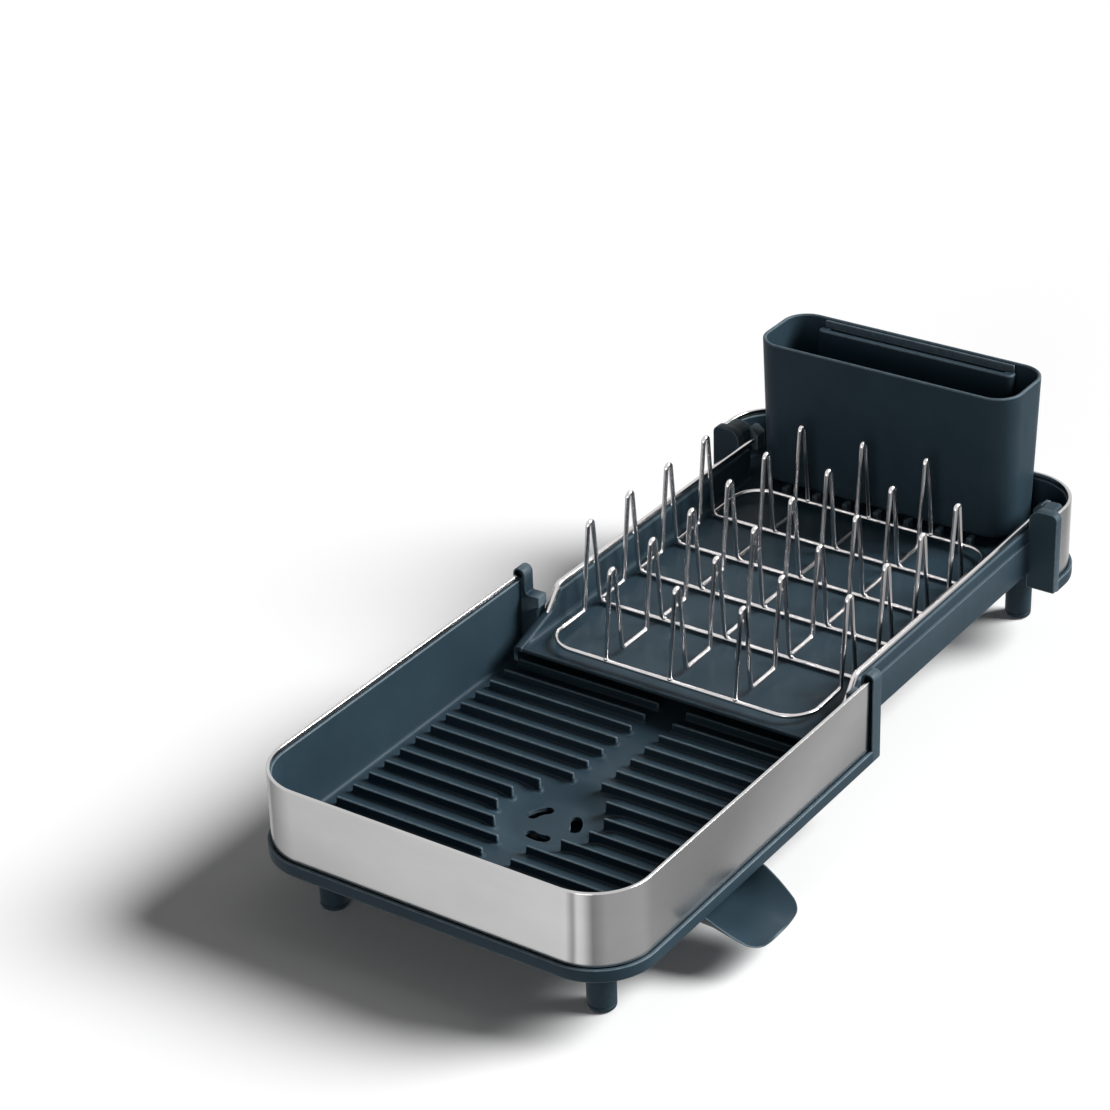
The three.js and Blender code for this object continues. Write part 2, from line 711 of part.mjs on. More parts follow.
/** Height of the point where a tine's straight legs would meet above its bend. */
function tineApex() {
  const rise = tineHeight - wireRadius - tineBend;
  const lean = Math.atan2(rise, tineHalfBase) + Math.asin(tineBend / Math.hypot(rise, tineHalfBase));
  return rowZ + tineHalfBase * Math.tan(lean);
}

/** Way of a zigzag wire in its own plane: tines from first to last, with level runs between them. */
function zigzag(x, first, last, startY, endY) {
  const corners = [];
  const radii = [];
  const add = (y, z, r) => {
    corners.push(new THREE.Vector3(x, y, z));
    radii.push(r);
  };
  const endFoot = rowZ + 2 * wireRadius + seat;
  const whole = startY === undefined;
  if (!whole) add(startY, rowZ, 0);
  for (let k = first; k <= last; k++) {
    const before = whole && k === first ? endFoot : rowZ;
    const after = whole && k === last ? endFoot : rowZ;
    add(tineY(k) - tineHalfBase, before, footBend);
    add(tineY(k), tineApex(), tineBend);
    add(tineY(k) + tineHalfBase, after, footBend);
  }
  if (!whole) add(endY, rowZ, 0);
  return bentPath(corners, radii, wireSides);
}

const innerRow = (k) => wire(zigzag(k * rowPitch, 0, tinesPerRow - 1), wireRadius);

function sideRow(side) {
  const [from, to] = [rackNearY + rackCorner + seat, rackFarY - rackCorner - seat];
  return wire(zigzag(side * rackHalf, 1, tinesPerRow - 2, from, to), wireRadius);
}

/** End wire of the rack, bent round both corners. */
function rackEnd(y, inward) {
  const from = y + inward * rackCorner;
  const corners = [[-rackHalf, from], [-rackHalf, y], [rackHalf, y], [rackHalf, from]]
    .map(([a, b]) => new THREE.Vector3(a, b, rowZ));
  return wire(bentPath(corners, [0, rackCorner - seat, rackCorner - seat, 0], 2 * cornerFacets), wireRadius);
}

/** Cross rod under the rows, where they run level past the far feet of tine k. */
function rackRod(k) {
  const y = tineY(k) + tineHalfBase + footBend;
  const half = rackHalf + wireRadius;
  return wire([new THREE.Vector3(-half, y, rodZ), new THREE.Vector3(half, y, rodZ)], wireRadius, wireSides);
}

// Cutlery holder

/** Half of the holder's width or depth at a height, from its half at the bottom and at the top. */
const holderHalf = (low, high, z) => low + ((high - low) * (z - holderBottom)) / holderHeight;

/** Level loop of the holder's outer or inner face at a height. */
function holderLoop(inset, z) {
  const x = holderHalf(holderBottomHalfWidth, holderTopHalfWidth, z) - inset;
  const y = holderHalf(holderBottomHalfDepth, holderTopHalfDepth, z) - inset;
  const r = Math.min(holderCorner - inset, y - overrun);
  return roundedBox([-x, holderY - y], [x, holderY + y], r).map(([a, b]) => [a, b, z]);
}

/** Drain slot through the holder's floor. */
function holderDrain(k) {
  const x = (k - (holderDrainCount - 1) / 2) * holderDrainPitch;
  const half = holderDrainLength / 2;
  const y = holderY - holderBottomHalfDepth + holderDrainInset;
  const outline = roundedBox([x - half, y], [x + half, y + holderDrainWidth], holderDrainWidth / 2);
  return prism(outline, 'z', holderBottom - overrun, holderBottom + holderWall + overrun);
}

function holderShell() {
  const outside = skin([holderLoop(0, holderBottom), holderLoop(0, holderTop)], true, false);
  const inside = skin(
    [holderLoop(holderWall, holderBottom + holderWall), holderLoop(holderWall, holderTop + overrun)], true, false);
  return cut(outside, inside, ...Array.from({ length: holderDrainCount }, (_, k) => holderDrain(k)));
}

/** Level stack of the insert between two heights, and between two distances from the holder's back wall. */
function insertStack(halfWidth, [front, back], corner, [from, to]) {
  const loop = (z) => {
    const y = holderY + holderHalf(holderBottomHalfDepth, holderTopHalfDepth, z) - holderWall - seat;
    return roundedBox([-halfWidth, y - front], [halfWidth, y - back], corner).map(([a, b]) => [a, b, z]);
  };
  return skin([loop(from), loop(to)], true, false);
}

/** Narrow upright box at the back of the holder: a well under a narrower slot, and a back plate above it. */
function knifeInsert() {
  const [low, top] = [holderBottom + holderWall + seat, holderTop - insertDrop];
  const half = insertHalfWidth - insertEndWall;
  const round = insertSlot / 2 - seat;
  const body = insertStack(insertHalfWidth, [insertDepth, 0], insertCorner, [low, top]);
  const plate = insertStack(insertHalfWidth - insertCorner / 2, [insertBackWall - seat, seat / 2], seat,
    [top - insertRim, holderTop - insertBackDrop]);
  const well = insertStack(half, [insertDepth - insertFrontWall, insertBackWall], round,
    [low + insertFoot, top - insertRim]);
  const slot = insertStack(half, [insertBackWall + insertSlot, insertBackWall], round,
    [top - insertRim - overrun, top + overrun]);
  return cut(join(body, plate), well, slot);
}

// Assembly

const rack = new THREE.Group();
const assembly = new THREE.Group();
assembly.position.set((lipProud + bandWidth / 2 - spoutReach) / 2, -rearEnd / 2, 0);
rack.add(assembly);

function place(name, body, finish) {
  const mesh = new THREE.Mesh(shell(body), new THREE.MeshStandardMaterial(finish));
  mesh.name = name;
  assembly.add(mesh);
}

place('front_tray', frontTray(), navy);
place('front_band', band((inset) => frontU(inset, frontBandLength)), steel);
for (const [name, x, y] of [
  ['front_left_foot', -frontFootX, frontFootInset], ['front_right_foot', frontFootX, frontFootInset],
  ['middle_left_foot', -middleFootX, middleFootY], ['middle_right_foot', middleFootX, middleFootY],
  ['rear_left_foot', -rearFootX, rearFootY], ['rear_right_foot', rearFootX, rearFootY],
]) place(name, foot(x, y), navyRubber);
place('spout_pin', spoutPin(), navy);
place('drain_spout', drainSpout(), navy);

place('rear_tray', rearTray(), navy);
place('rear_band', band((inset) => rearU(inset, rearBandStart)), steel);
place('left_rail', rail(-1), chromed);
place('right_rail', rail(1), chromed);

place('rack_side_left', sideRow(-1), chromed);
place('rack_side_right', sideRow(1), chromed);
place('rack_row_left', innerRow(-1), chromed);
place('rack_row_centre', innerRow(0), chromed);
place('rack_row_right', innerRow(1), chromed);
place('rack_end_near', rackEnd(rackNearY, 1), chromed);
place('rack_end_far', rackEnd(rackFarY, -1), chromed);
for (let k = 1; k < tinesPerRow - 1; k++) place(`rack_rod_${k}`, rackRod(k), chromed);

place('holder_shell', holderShell(), navy);
place('knife_insert', knifeInsert(), navy);

export default rack;
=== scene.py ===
"""Looks of the expandable dish rack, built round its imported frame.

Sizes are in millimetres, in the rack's own layout: x = 0 is the middle plane, y = 0 the outer face of the front
steel band, z = 0 the worktop. Layout.world() turns them into metres in the frame's axes, so that every piece's
object stays at the origin. A shape is worked out as whole arrays: a profile carried along a plan, a section
carried along a wire, a profile turned about an axis, or a height given over a grid.
"""

import logging
import math
from dataclasses import dataclass, field
from enum import Enum

import bmesh
import bpy
import numpy as np
from mathutils import Matrix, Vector
from numpy.typing import ArrayLike, NDArray


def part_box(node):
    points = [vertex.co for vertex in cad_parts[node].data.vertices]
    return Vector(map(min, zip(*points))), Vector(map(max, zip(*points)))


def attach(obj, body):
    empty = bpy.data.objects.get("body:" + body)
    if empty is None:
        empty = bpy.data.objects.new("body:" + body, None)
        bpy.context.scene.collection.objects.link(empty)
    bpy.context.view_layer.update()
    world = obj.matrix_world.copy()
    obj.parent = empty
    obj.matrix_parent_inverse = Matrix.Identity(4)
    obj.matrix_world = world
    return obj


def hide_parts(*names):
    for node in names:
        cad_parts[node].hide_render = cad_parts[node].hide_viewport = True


Points = NDArray[np.float64]
Faces = NDArray[np.int64]
Pair = tuple[float, float]
Triple = tuple[float, float, float]
Socket = bpy.types.NodeSocket

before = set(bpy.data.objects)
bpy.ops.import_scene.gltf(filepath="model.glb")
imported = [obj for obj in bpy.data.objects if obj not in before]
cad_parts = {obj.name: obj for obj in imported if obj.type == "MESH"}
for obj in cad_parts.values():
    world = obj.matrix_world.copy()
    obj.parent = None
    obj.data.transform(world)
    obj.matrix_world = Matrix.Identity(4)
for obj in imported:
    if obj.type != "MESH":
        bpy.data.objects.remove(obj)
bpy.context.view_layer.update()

log = logging.getLogger("dish_rack")

MM = 0.001
HALF_TURN = math.pi
QUARTER_TURN = math.pi / 2
ACROSS = np.array([1.0, 0.0, 0.0])
UP = np.array([0.0, 0.0, 1.0])
SEAM = 0.000004
SLIVER = 0.000002
FOOT_RADIUS = 8.6
FOOT_PLACES = {"front": (91.8, 35.0), "middle": (74.0, 250.0), "rear": (86.8, 540.0)}


class Side(Enum):
    """The two sides of the rack, as signs of x."""

    LEFT = -1
    RIGHT = 1

    @property
    def word(self) -> str:
        """The side's name, as pieces carry it."""
        return self.name.lower()


class Body(Enum):
    """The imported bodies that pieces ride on."""

    FRONT = "front_module"
    SPOUT = "spout"
    EXTENSION = "extension"
    RACK = "plate_rack"
    HOLDER = "cutlery_holder"
    KNIVES = "knife_holder"


class Slot(Enum):
    """The record's material slots."""

    PLASTIC = "moulded_plastic"
    RUBBER = "foot_rubber"
    STEEL = "steel_band"
    CHROME = "chromed_wire"


# Arrays and shapes


def unit(vectors: Points) -> Points:
    """Vectors of length one along the last axis."""
    return vectors / np.maximum(np.linalg.norm(vectors, axis=-1, keepdims=True), 1e-12)


def zipped(*coordinates: ArrayLike) -> Points:
    """Points of the given coordinates, spread to one shape."""
    return np.stack(np.broadcast_arrays(*coordinates), -1)


def lifted(plans: Points, heights: Points) -> Points:
    """Grid of plans of (x, y), each at its own height."""
    return zipped(plans[..., 0], plans[..., 1], heights[:, None])


def upright(loops: Points, places: Points) -> Points:
    """Grid of loops of (x, z), each at its own y."""
    return zipped(loops[..., 0], places[:, None], loops[..., 1])


def chord(radius: float, distance: Points) -> Points:
    """Half the chord that lies at a distance from a circle's middle, 0 outside the circle."""
    return np.sqrt(np.maximum(radius**2 - distance**2, 0))


def quarter_round(steps: int) -> tuple[Points, Points]:
    """How far a rounded edge of radius 1 lies in, 1 - sin a, and along, 1 - cos a, over a quarter turn."""
    a = np.linspace(0, QUARTER_TURN, steps)
    return 1 - np.sin(a), 1 - np.cos(a)


def bend(corners: ArrayLike, radii: ArrayLike, facets: int, closed: bool = False, merge: bool = True) -> Points:
    """Path through corners, each rounded by an arc of its own radius.

    An arc between two legs is a conic: its two tangent points weigh 1 and its corner the cosine of half the turn.
    The parameter that spaces it evenly is the ratio of the sines of the two parts of half the turn.

    Args:
        corners: Points in two or three dimensions.
        radii: One radius per corner, zero for a sharp one.
        facets: Facets per arc.
        closed: Whether the last corner joins the first.
        merge: Whether points that coincide become one.

    Returns:
        The path's points. Without merging, every corner has facets + 1 of them.
    """
    corners = np.asarray(corners, float)
    radii = np.broadcast_to(np.asarray(radii, float), (len(corners),)).copy()
    if not closed:
        radii[[0, -1]] = 0
    to_last = unit(np.roll(corners, 1, 0) - corners)
    to_next = unit(np.roll(corners, -1, 0) - corners)
    between = np.arccos(np.clip((to_last * to_next).sum(-1), -1, 1))
    turn = (HALF_TURN - between)[:, None]
    back = (radii / np.maximum(np.tan(between / 2), 1e-9))[:, None, None]
    first = corners[:, None] + to_last[:, None] * back
    second = corners[:, None] + to_next[:, None] * back
    u = np.linspace(0, 1, facets + 1)[None]
    part, rest = np.sin(u * turn / 2), np.sin((1 - u) * turn / 2)
    t = np.where(turn < 1e-6, u, part / np.maximum(part + rest, 1e-12))[..., None]
    w = np.cos(turn / 2)[..., None]
    total = (1 - t) ** 2 + 2 * t * (1 - t) * w + t**2
    arc = ((1 - t) ** 2 * first + 2 * t * (1 - t) * w * corners[:, None] + t**2 * second) / total
    path = arc.reshape(-1, corners.shape[1])
    if not merge:
        return path
    step = np.linalg.norm(np.diff(path, axis=0, prepend=path[-1:] if closed else path[:1] - 1), axis=1)
    return path[step > 1e-6]


def grid_faces(rows: int, columns: int, wrap_rows: bool = False, wrap_columns: bool = False) -> Faces:
    """Quads of a grid of points.

    Args:
        rows: Points along the first parameter.
        columns: Points along the second parameter.
        wrap_rows: Whether the last row joins the first.
        wrap_columns: Whether the last column joins the first.

    Returns:
        Corner indices of each quad.
    """
    i, j = np.meshgrid(np.arange(rows - (not wrap_rows)), np.arange(columns - (not wrap_columns)), indexing="ij")
    k, m = (i + 1) % rows, (j + 1) % columns
    return np.stack([i * columns + j, i * columns + m, k * columns + m, k * columns + j], -1).reshape(-1, 4)


@dataclass
class Shape:
    """Closed surfaces: their points, their faces, and at each point its run along and round the surface."""

    points: Points
    faces: list[Faces]
    runs: Points

    @staticmethod
    def joined(*shapes: "Shape") -> "Shape":
        """One shape of several, which may overlap.

        Args:
            shapes: The shapes.

        Returns:
            The one shape.
        """
        starts = np.cumsum([0] + [len(s.points) for s in shapes])
        faces = [f + start for s, start in zip(shapes, starts) for f in s.faces]
        return Shape(np.concatenate([s.points for s in shapes]), faces, np.concatenate([s.runs for s in shapes]))

    def moved(self, x: float = 0, y: float = 0, z: float = 0) -> "Shape":
        """The shape pushed along the axes."""
        return Shape(self.points + np.array([x, y, z], float), self.faces, self.runs)

    def mirrored(self) -> "Shape":
        """The shape on the other side of the middle plane."""
        return Shape(self.points * np.array([-1.0, 1.0, 1.0]), [f[:, ::-1] for f in self.faces], self.runs)

    def both_sides(self) -> "Shape":
        """The shape and its mirror image."""
        return Shape.joined(self, self.mirrored())


def from_grid(grid: Points, wrap_rows: bool, wrap_columns: bool, cap_rows: bool = False,
              cap_columns: bool = False) -> Shape:
    """Shape of a grid of points, (rows, columns, 3).

    Args:
        grid: The points.
        wrap_rows: Whether the rows form a loop.
        wrap_columns: Whether the columns form a loop.
        cap_rows: Whether a flat face closes the first and the last row.
        cap_columns: Whether a flat face closes the first and the last column.

    Returns:
        The shape, with its runs measured along both parameters.
    """
    rows, columns = grid.shape[:2]
    faces = [grid_faces(rows, columns, wrap_rows, wrap_columns)]
    index = np.arange(rows * columns).reshape(rows, columns)
    if cap_rows:
        faces += [index[:1, ::-1], index[-1:]]
    if cap_columns:
        faces += [index[:, :1].T, index[::-1, -1:].T]
    along = np.linalg.norm(np.diff(grid, axis=1, prepend=grid[:, :1]), axis=-1).cumsum(1)
    round_it = np.linalg.norm(np.diff(grid, axis=0, prepend=grid[:1]), axis=-1).cumsum(0)
    runs = np.stack([along, round_it, np.zeros_like(along)], -1).reshape(-1, 3) * MM
    return Shape(grid.reshape(-1, 3), faces, runs)


def skin(loops: Points) -> Shape:
    """Closed skin over a stack of loops, one loop per row."""
    return from_grid(loops, False, True, cap_rows=True)


def bar(grid: Points) -> Shape:
    """Closed bar whose sections are the grid's columns."""
    return from_grid(grid, True, False, cap_columns=True)


def carried(profile: Points, stations: Points, outward: Points) -> Shape:
    """Closed profile carried along an open plan and capped at both ends.

    A profile point (inset, z) lies at each station less inset times that station's outward normal, at height z.

    Args:
        profile: Loop of (inset, z).
        stations: Plan of the outer face, (x, y).
        outward: Its unit normals.

    Returns:
        The wall.
    """
    plan = stations[None] - profile[:, None, :1] * outward[None]
    return bar(lifted(plan, profile[:, 1]))


def turned(profile: Points, x: float, y: float, sides: int) -> Shape:
    """Profile of (radius, z) points turned about the vertical axis through (x, y).

    Args:
        profile: Points of (radius, z), in mm.
        x: The axis's x.
        y: The axis's y.
        sides: Sides round the axis.

    Returns:
        The turned shape.
    """
    angle = np.linspace(0, 2 * HALF_TURN, sides, endpoint=False)
    r, z = profile[:, :1], profile[:, 1:]
    return from_grid(zipped(x + r * np.cos(angle), y + r * np.sin(angle), z), False, True)


def tube(path: Points, radius: float, across: Points, sides: int = 18) -> Shape:
    """Round wire along a flat path, with domed ends.

    A section's points lie at radius times (cos a times the plane's normal + sin a times the path's own normal).
    The domes add stations past the ends, out by 0.6 of the sine and in by the cosine of a quarter turn.

    Args:
        path: The wire's centre line, (n, 3).
        radius: The wire's radius.
        across: Unit normal of the path's plane.
        sides: Facets round the wire.

    Returns:
        The wire.
    """
    steps, bulge = 4, 0.6
    ahead = unit(np.gradient(path, axis=0))
    dome = np.linspace(0, QUARTER_TURN, steps + 1)[1:]
    out, shrink = (radius * np.sin(dome) * bulge)[:, None], np.cos(dome)
    centres = np.concatenate([(path[0] - ahead[0] * out)[::-1], path, path[-1] + ahead[-1] * out])
    directions = np.concatenate([np.repeat(ahead[:1], steps, 0), ahead, np.repeat(ahead[-1:], steps, 0)])
    size = radius * np.concatenate([shrink[::-1], np.ones(len(path)), shrink])
    angle = np.linspace(0, 2 * HALF_TURN, sides, endpoint=False)
    beside = unit(np.cross(across, directions))
    ring = np.cos(angle)[:, None, None] * across + np.sin(angle)[:, None, None] * beside[None]
    return from_grid(centres[None] + size[None, :, None] * ring, True, False)


def outline_normals(outline: Points) -> Points:
    """Mitred outward normals of a closed counterclockwise outline, long enough to move each edge by one.

    Args:
        outline: The outline's corners, in order.

    Returns:
        One normal per corner.
    """
    edge = unit(np.roll(outline, -1, 0) - outline)
    normal = np.stack([edge[:, 1], -edge[:, 0]], -1)
    last = np.roll(normal, 1, 0)
    return (normal + last) / np.maximum(1 + (normal * last).sum(-1, keepdims=True), 0.35)


def inset_loop(corners: ArrayLike, radii: ArrayLike, depth: float, facets: int) -> Points:
    """Rounded outline moved in by a depth: convex corners lose it from their radius and hollow ones gain it.

    Args:
        corners: Counterclockwise corners.
        radii: One radius per corner.
        depth: How far each edge moves in.
        facets: Facets per arc.

    Returns:
        The loop, with the same number of points at any depth.
    """
    corners = np.asarray(corners, float)
    ahead = np.roll(corners, -1, 0) - corners
    behind = np.roll(ahead, 1, 0)
    convex = behind[:, 0] * ahead[:, 1] - behind[:, 1] * ahead[:, 0] > 0
    radius = np.asarray(radii, float)
    radius = np.where(radius > 0, np.maximum(np.where(convex, radius - depth, radius + depth), 0), 0)
    return bend(corners - depth * outline_normals(corners), radius, facets, closed=True, merge=False)


def rim_levels(at: float, edge: float, way: int, steps: int = 4, border: float = 0) -> Points:
    """Levels (inset, place) of a rounded rim, from its face inwards.

    Args:
        at: Place of the face.
        edge: Radius of the rim.
        way: Sign of the pushing axis there.
        steps: Levels of the rounding.
        border: Width of a flat ring inside the rim, or 0 for none.

    Returns:
        The levels.
    """
    aside, along = quarter_round(steps)
    levels = zipped(edge * aside, at + way * edge * along)
    return np.concatenate([[[edge + border, at]], levels]) if border else levels


def block_levels(low: float, high: float, edge: float, border: float = 0) -> Points:
    """Levels (inset, place) of a block with both rims rounded.

    Args:
        low: Where the block starts.
        high: Where it ends.
        edge: Radius of its rims.
        border: Width of a flat ring inside each rim, or 0 for none.

    Returns:
        The levels, from one end to the other.
    """
    ends = [rim_levels(at, edge, way, border=border) for at, way in ((low, 1), (high, -1))]
    return np.concatenate([ends[0], ends[1][::-1]])


def post(corners: ArrayLike, radii: ArrayLike, levels: Points, facets: int = 6) -> Shape:
    """Block of a rounded outline in (x, z), through levels of (inset, y)."""
    loops = np.stack([inset_loop(corners, radii, float(d), facets) for d in levels[:, 0]])
    return skin(upright(loops, levels[:, 1]))


def pillow(outline: Points, low: float, high: float, edge: float, axis: str) -> Shape:
    """Block of a closed outline pushed along an axis, with both rims rounded.

    Near each end the outline moves in by edge times (1 - sin a) while the depth goes by edge times (1 - cos a).

    Args:
        outline: Points in the two other axes, x first.
        low: Where the block starts on the axis.
        high: Where it ends.
        edge: Radius of its rims.
        axis: "y" or "z".

    Returns:
        The block.
    """
    area = (outline[:, 0] * np.roll(outline[:, 1], -1) - outline[:, 1] * np.roll(outline[:, 0], -1)).sum()
    outline = outline if area > 0 else outline[::-1]
    levels = block_levels(low, high, edge)
    flat = outline[None] - levels[:, :1, None] * outline_normals(outline)[None]
    stacked = upright if axis == "y" else lifted
    return skin(stacked(flat, levels[:, 1]))


def slab(top: Points, bottom: Points, keep: NDArray[np.bool_], wrap_columns: bool) -> Shape:
    """Plate between two grids of points, with walls wherever kept cells end.

    Args:
        top: Upper points, (rows, columns, 3).
        bottom: Lower points, with the same shape.
        keep: Which cells are there, one per quad of the grid.
        wrap_columns: Whether the columns form a loop.

    Returns:
        The plate. An edge that only one kept cell has gets a wall.
    """
    rows, columns = top.shape[:2]
    count = rows * columns
    upper = grid_faces(rows, columns, False, wrap_columns)[keep.ravel()]
    edges = np.stack([upper, np.roll(upper, -1, 1)], -1).reshape(-1, 2)
    rim = edges[~np.isin(edges[:, 0] * count + edges[:, 1], edges[:, 1] * count + edges[:, 0])]
    walls = np.stack([rim[:, 0], rim[:, 0] + count, rim[:, 1] + count, rim[:, 1]], -1)
    points = np.concatenate([top.reshape(-1, 3), bottom.reshape(-1, 3)])
    used = np.zeros(len(points), bool)
    faces = [upper, upper[:, ::-1] + count, walls]
    for f in faces:
        used[f.ravel()] = True
    renumbered = np.cumsum(used) - 1
    return Shape(points[used], [renumbered[f] for f in faces], points[used] * MM)


def rounded_rectangle(half_x: ArrayLike, half_y: ArrayLike, radius: ArrayLike, facets: int) -> Points:
    """Counterclockwise rounded rectangles about the origin, one per entry of the sizes.

    Each corner's points are its centre plus its radius times (cos a, sin a) over that corner's quarter turn.

    Args:
        half_x: Half sizes along x.
        half_y: Half sizes along y.
        radius: Corner radii.
        facets: Edges of each corner.

    Returns:
        One loop of (x, y) points per entry.
    """
    half_x, half_y, radius = (np.atleast_1d(np.asarray(v, float))[:, None, None] for v in (half_x, half_y, radius))
    corner = np.arange(4)[None, :, None]
    angle = corner * QUARTER_TURN + np.linspace(0, QUARTER_TURN, facets + 1)[None, None]
    sign_x = np.where((corner == 0) | (corner == 3), 1, -1)
    sign_y = np.where(corner < 2, 1, -1)
    x = sign_x * (half_x - radius) + radius * np.cos(angle)
    y = sign_y * (half_y - radius) + radius * np.sin(angle)
    return np.stack([x, y], -1).reshape(len(half_x), -1, 2)


def foot_sockets(places: tuple[str, ...], low: float, high: float) -> list[Shape]:
    """Round sockets over the feet, on both sides of the rack.

    Args:
        places: Names of the feet's places.
        low: Where the sockets start, just above the feet.
        high: Where they end, in the floor.

    Returns:
        The sockets.
    """
    profile = bend([[0.01, low], [FOOT_RADIUS, low], [FOOT_RADIUS, high]], 0.5, 4)
    return [turned(profile, side.value * x, y, 40) for x, y in (FOOT_PLACES[p] for p in places) for side in Side]


def smooth(t: Points) -> Points:
    """Smooth step from 0 to 1: 3 t squared - 2 t cubed, level at both ends."""
    t = np.clip(t, 0, 1)
    return t * t * (3 - 2 * t)


# Finishes


class Recipe:
    """A material's node tree, with short calls to add and join its nodes."""

    def __init__(self, name: str) -> None:
        """Starts an empty tree with a Principled shader.

        Args:
            name: The material's name.
        """
        self.material = bpy.data.materials.new(name)
        self.material.use_nodes = True
        self.tree = self.material.node_tree
        self.tree.nodes.clear()
        self.shader = self.add("ShaderNodeBsdfPrincipled")
        output = self.add("ShaderNodeOutputMaterial")
        self.link(self.shader.outputs["BSDF"], output.inputs["Surface"])
        self.place = self.add("ShaderNodeTexCoord").outputs["Object"]

    def add(self, kind: str, **settings: object) -> bpy.types.Node:
        """Adds a node and sets its properties.

        Args:
            kind: The node's type.
            settings: Its properties.

        Returns:
            The node.
        """
        node = self.tree.nodes.new(kind)
        for key, value in settings.items():
            setattr(node, key, value)
        return node

    def link(self, source: Socket, target: Socket) -> None:
        """Joins an output to an input."""
        self.tree.links.new(source, target)

    def feed(self, inputs: dict[str, object]) -> None:
        """Sets the shader's inputs.

        Args:
            inputs: For each input's name, the socket that drives it or its constant.
        """
        for name, source in inputs.items():
            if isinstance(source, Socket):
                self.link(source, self.shader.inputs[name])
            else:
                self.shader.inputs[name].default_value = source

    def stretched(self, scale: Triple, source: Socket | None = None) -> Socket:
        """Coordinates scaled per axis, from the piece's place or from a given socket.

        Args:
            scale: Scale along each axis.
            source: Coordinates to scale, or None for the piece's place.

        Returns:
            The scaled coordinates.
        """
        mapping = self.add("ShaderNodeMapping")
        mapping.inputs["Scale"].default_value = scale
        self.link(source or self.place, mapping.inputs["Vector"])
        return mapping.outputs["Vector"]

    def noise(self, where: Socket, scale: float, detail: float = 3, rough: float = 0.5) -> Socket:
        """Noise between 0 and 1, scale being its cells per metre.

        Args:
            where: Coordinates.
            scale: Cells per metre.
            detail: Octaves.
            rough: Share that each octave keeps.

        Returns:
            The noise.
        """
        node = self.add("ShaderNodeTexNoise")
        self.link(where, node.inputs["Vector"])
        node.inputs["Scale"].default_value = scale
        node.inputs["Detail"].default_value = detail
        node.inputs["Roughness"].default_value = rough
        return node.outputs["Fac"]

    def attribute(self, name: str) -> bpy.types.Node:
        """A mesh attribute."""
        return self.add("ShaderNodeAttribute", attribute_name=name)

    def span(self, value: Socket, source: Pair, target: Pair) -> Socket:
        """A value carried from one range to another, and held inside it.

        Args:
            value: The value.
            source: Its range.
            target: The range that it gets.

        Returns:
            The carried value.
        """
        node = self.add("ShaderNodeMapRange")
        self.link(value, node.inputs["Value"])
        for key, number in zip(("From Min", "From Max", "To Min", "To Max"), (*source, *target)):
            node.inputs[key].default_value = number
        return node.outputs["Result"]

    def blend(self, share: Socket, first: object, second: object) -> Socket:
        """Colour between two, each a tuple or a socket.

        Args:
            share: Share of the second colour.
            first: The first colour.
            second: The second colour.

        Returns:
            The mixed colour.
        """
        node = self.add("ShaderNodeMix", data_type="RGBA")
        self.link(share, node.inputs[0])
        for socket, colour in ((node.inputs[6], first), (node.inputs[7], second)):
            if isinstance(colour, Socket):
                self.link(colour, socket)
            else:
                socket.default_value = (*colour, 1)
        return node.outputs[2]

    def bump(self, height: Socket, depth: float, strength: float, before: Socket | None = None) -> Socket:
        """Normal bent by a height, depth being the height's full size in metres.

        Args:
            height: The height.
            depth: Its full size, in metres.
            strength: The bend's strength.
            before: A normal that is bent already, or None.

        Returns:
            The bent normal.
        """
        node = self.add("ShaderNodeBump")
        self.link(height, node.inputs["Height"])
        node.inputs["Distance"].default_value = depth
        node.inputs["Strength"].default_value = strength
        if before is not None:
            self.link(before, node.inputs["Normal"])
        return node.outputs["Normal"]


@dataclass(frozen=True)
class MouldedPlastic:
    """Dark slate plastic with a fine spark-eroded grain, and a painted highlight that makes convex edges paler."""

    name: str = "slate_plastic"
    deep: Triple = (0.022, 0.041, 0.056)
    pale: Triple = (0.028, 0.050, 0.067)
    # edge: colour of the painted highlight on convex edges
    edge: Triple = (0.170, 0.225, 0.260)
    roughness: Pair = (0.37, 0.45)
    refraction: float = 1.49
    gloss: float = 0.11
    grain: float = 2600
    grain_depth: float = 0.00003

    def material(self) -> bpy.types.Material:
        """Builds the node tree: cloudy tone, a painted highlight on convex edges, grain and faint flow waves in the
        bump.

        Returns:
            The material.
        """
        r = Recipe(self.name)
        cloud = r.noise(r.place, 22, 4, 0.6)
        tone = r.blend(r.span(cloud, (0.3, 0.7), (0, 1)), self.deep, self.pale)
        convex = r.attribute("convexity").outputs["Fac"]
        broken = r.noise(r.place, 260, 2)
        # painted highlight: convex edges, broken up by noise, blend towards the edge colour
        painted_edge_highlight = r.add("ShaderNodeMath", operation="MULTIPLY")
        r.link(r.span(convex, (0.2, 0.55), (0, 0.75)), painted_edge_highlight.inputs[0])
        r.link(r.span(broken, (0.25, 0.7), (0.55, 1)), painted_edge_highlight.inputs[1])
        flow = r.bump(r.noise(r.stretched((9, 5, 9)), 1, 1), 0.0004, 0.25)
        r.feed({
            "Base Color": r.blend(painted_edge_highlight.outputs[0], tone, self.edge),
            "Roughness": r.span(r.noise(r.place, 60, 3), (0.3, 0.7), self.roughness),
            "Normal": r.bump(r.noise(r.place, self.grain, 2, 0.6), self.grain_depth, 0.55, flow),
            "IOR": self.refraction, "Specular IOR Level": self.gloss,
        })
        return r.material


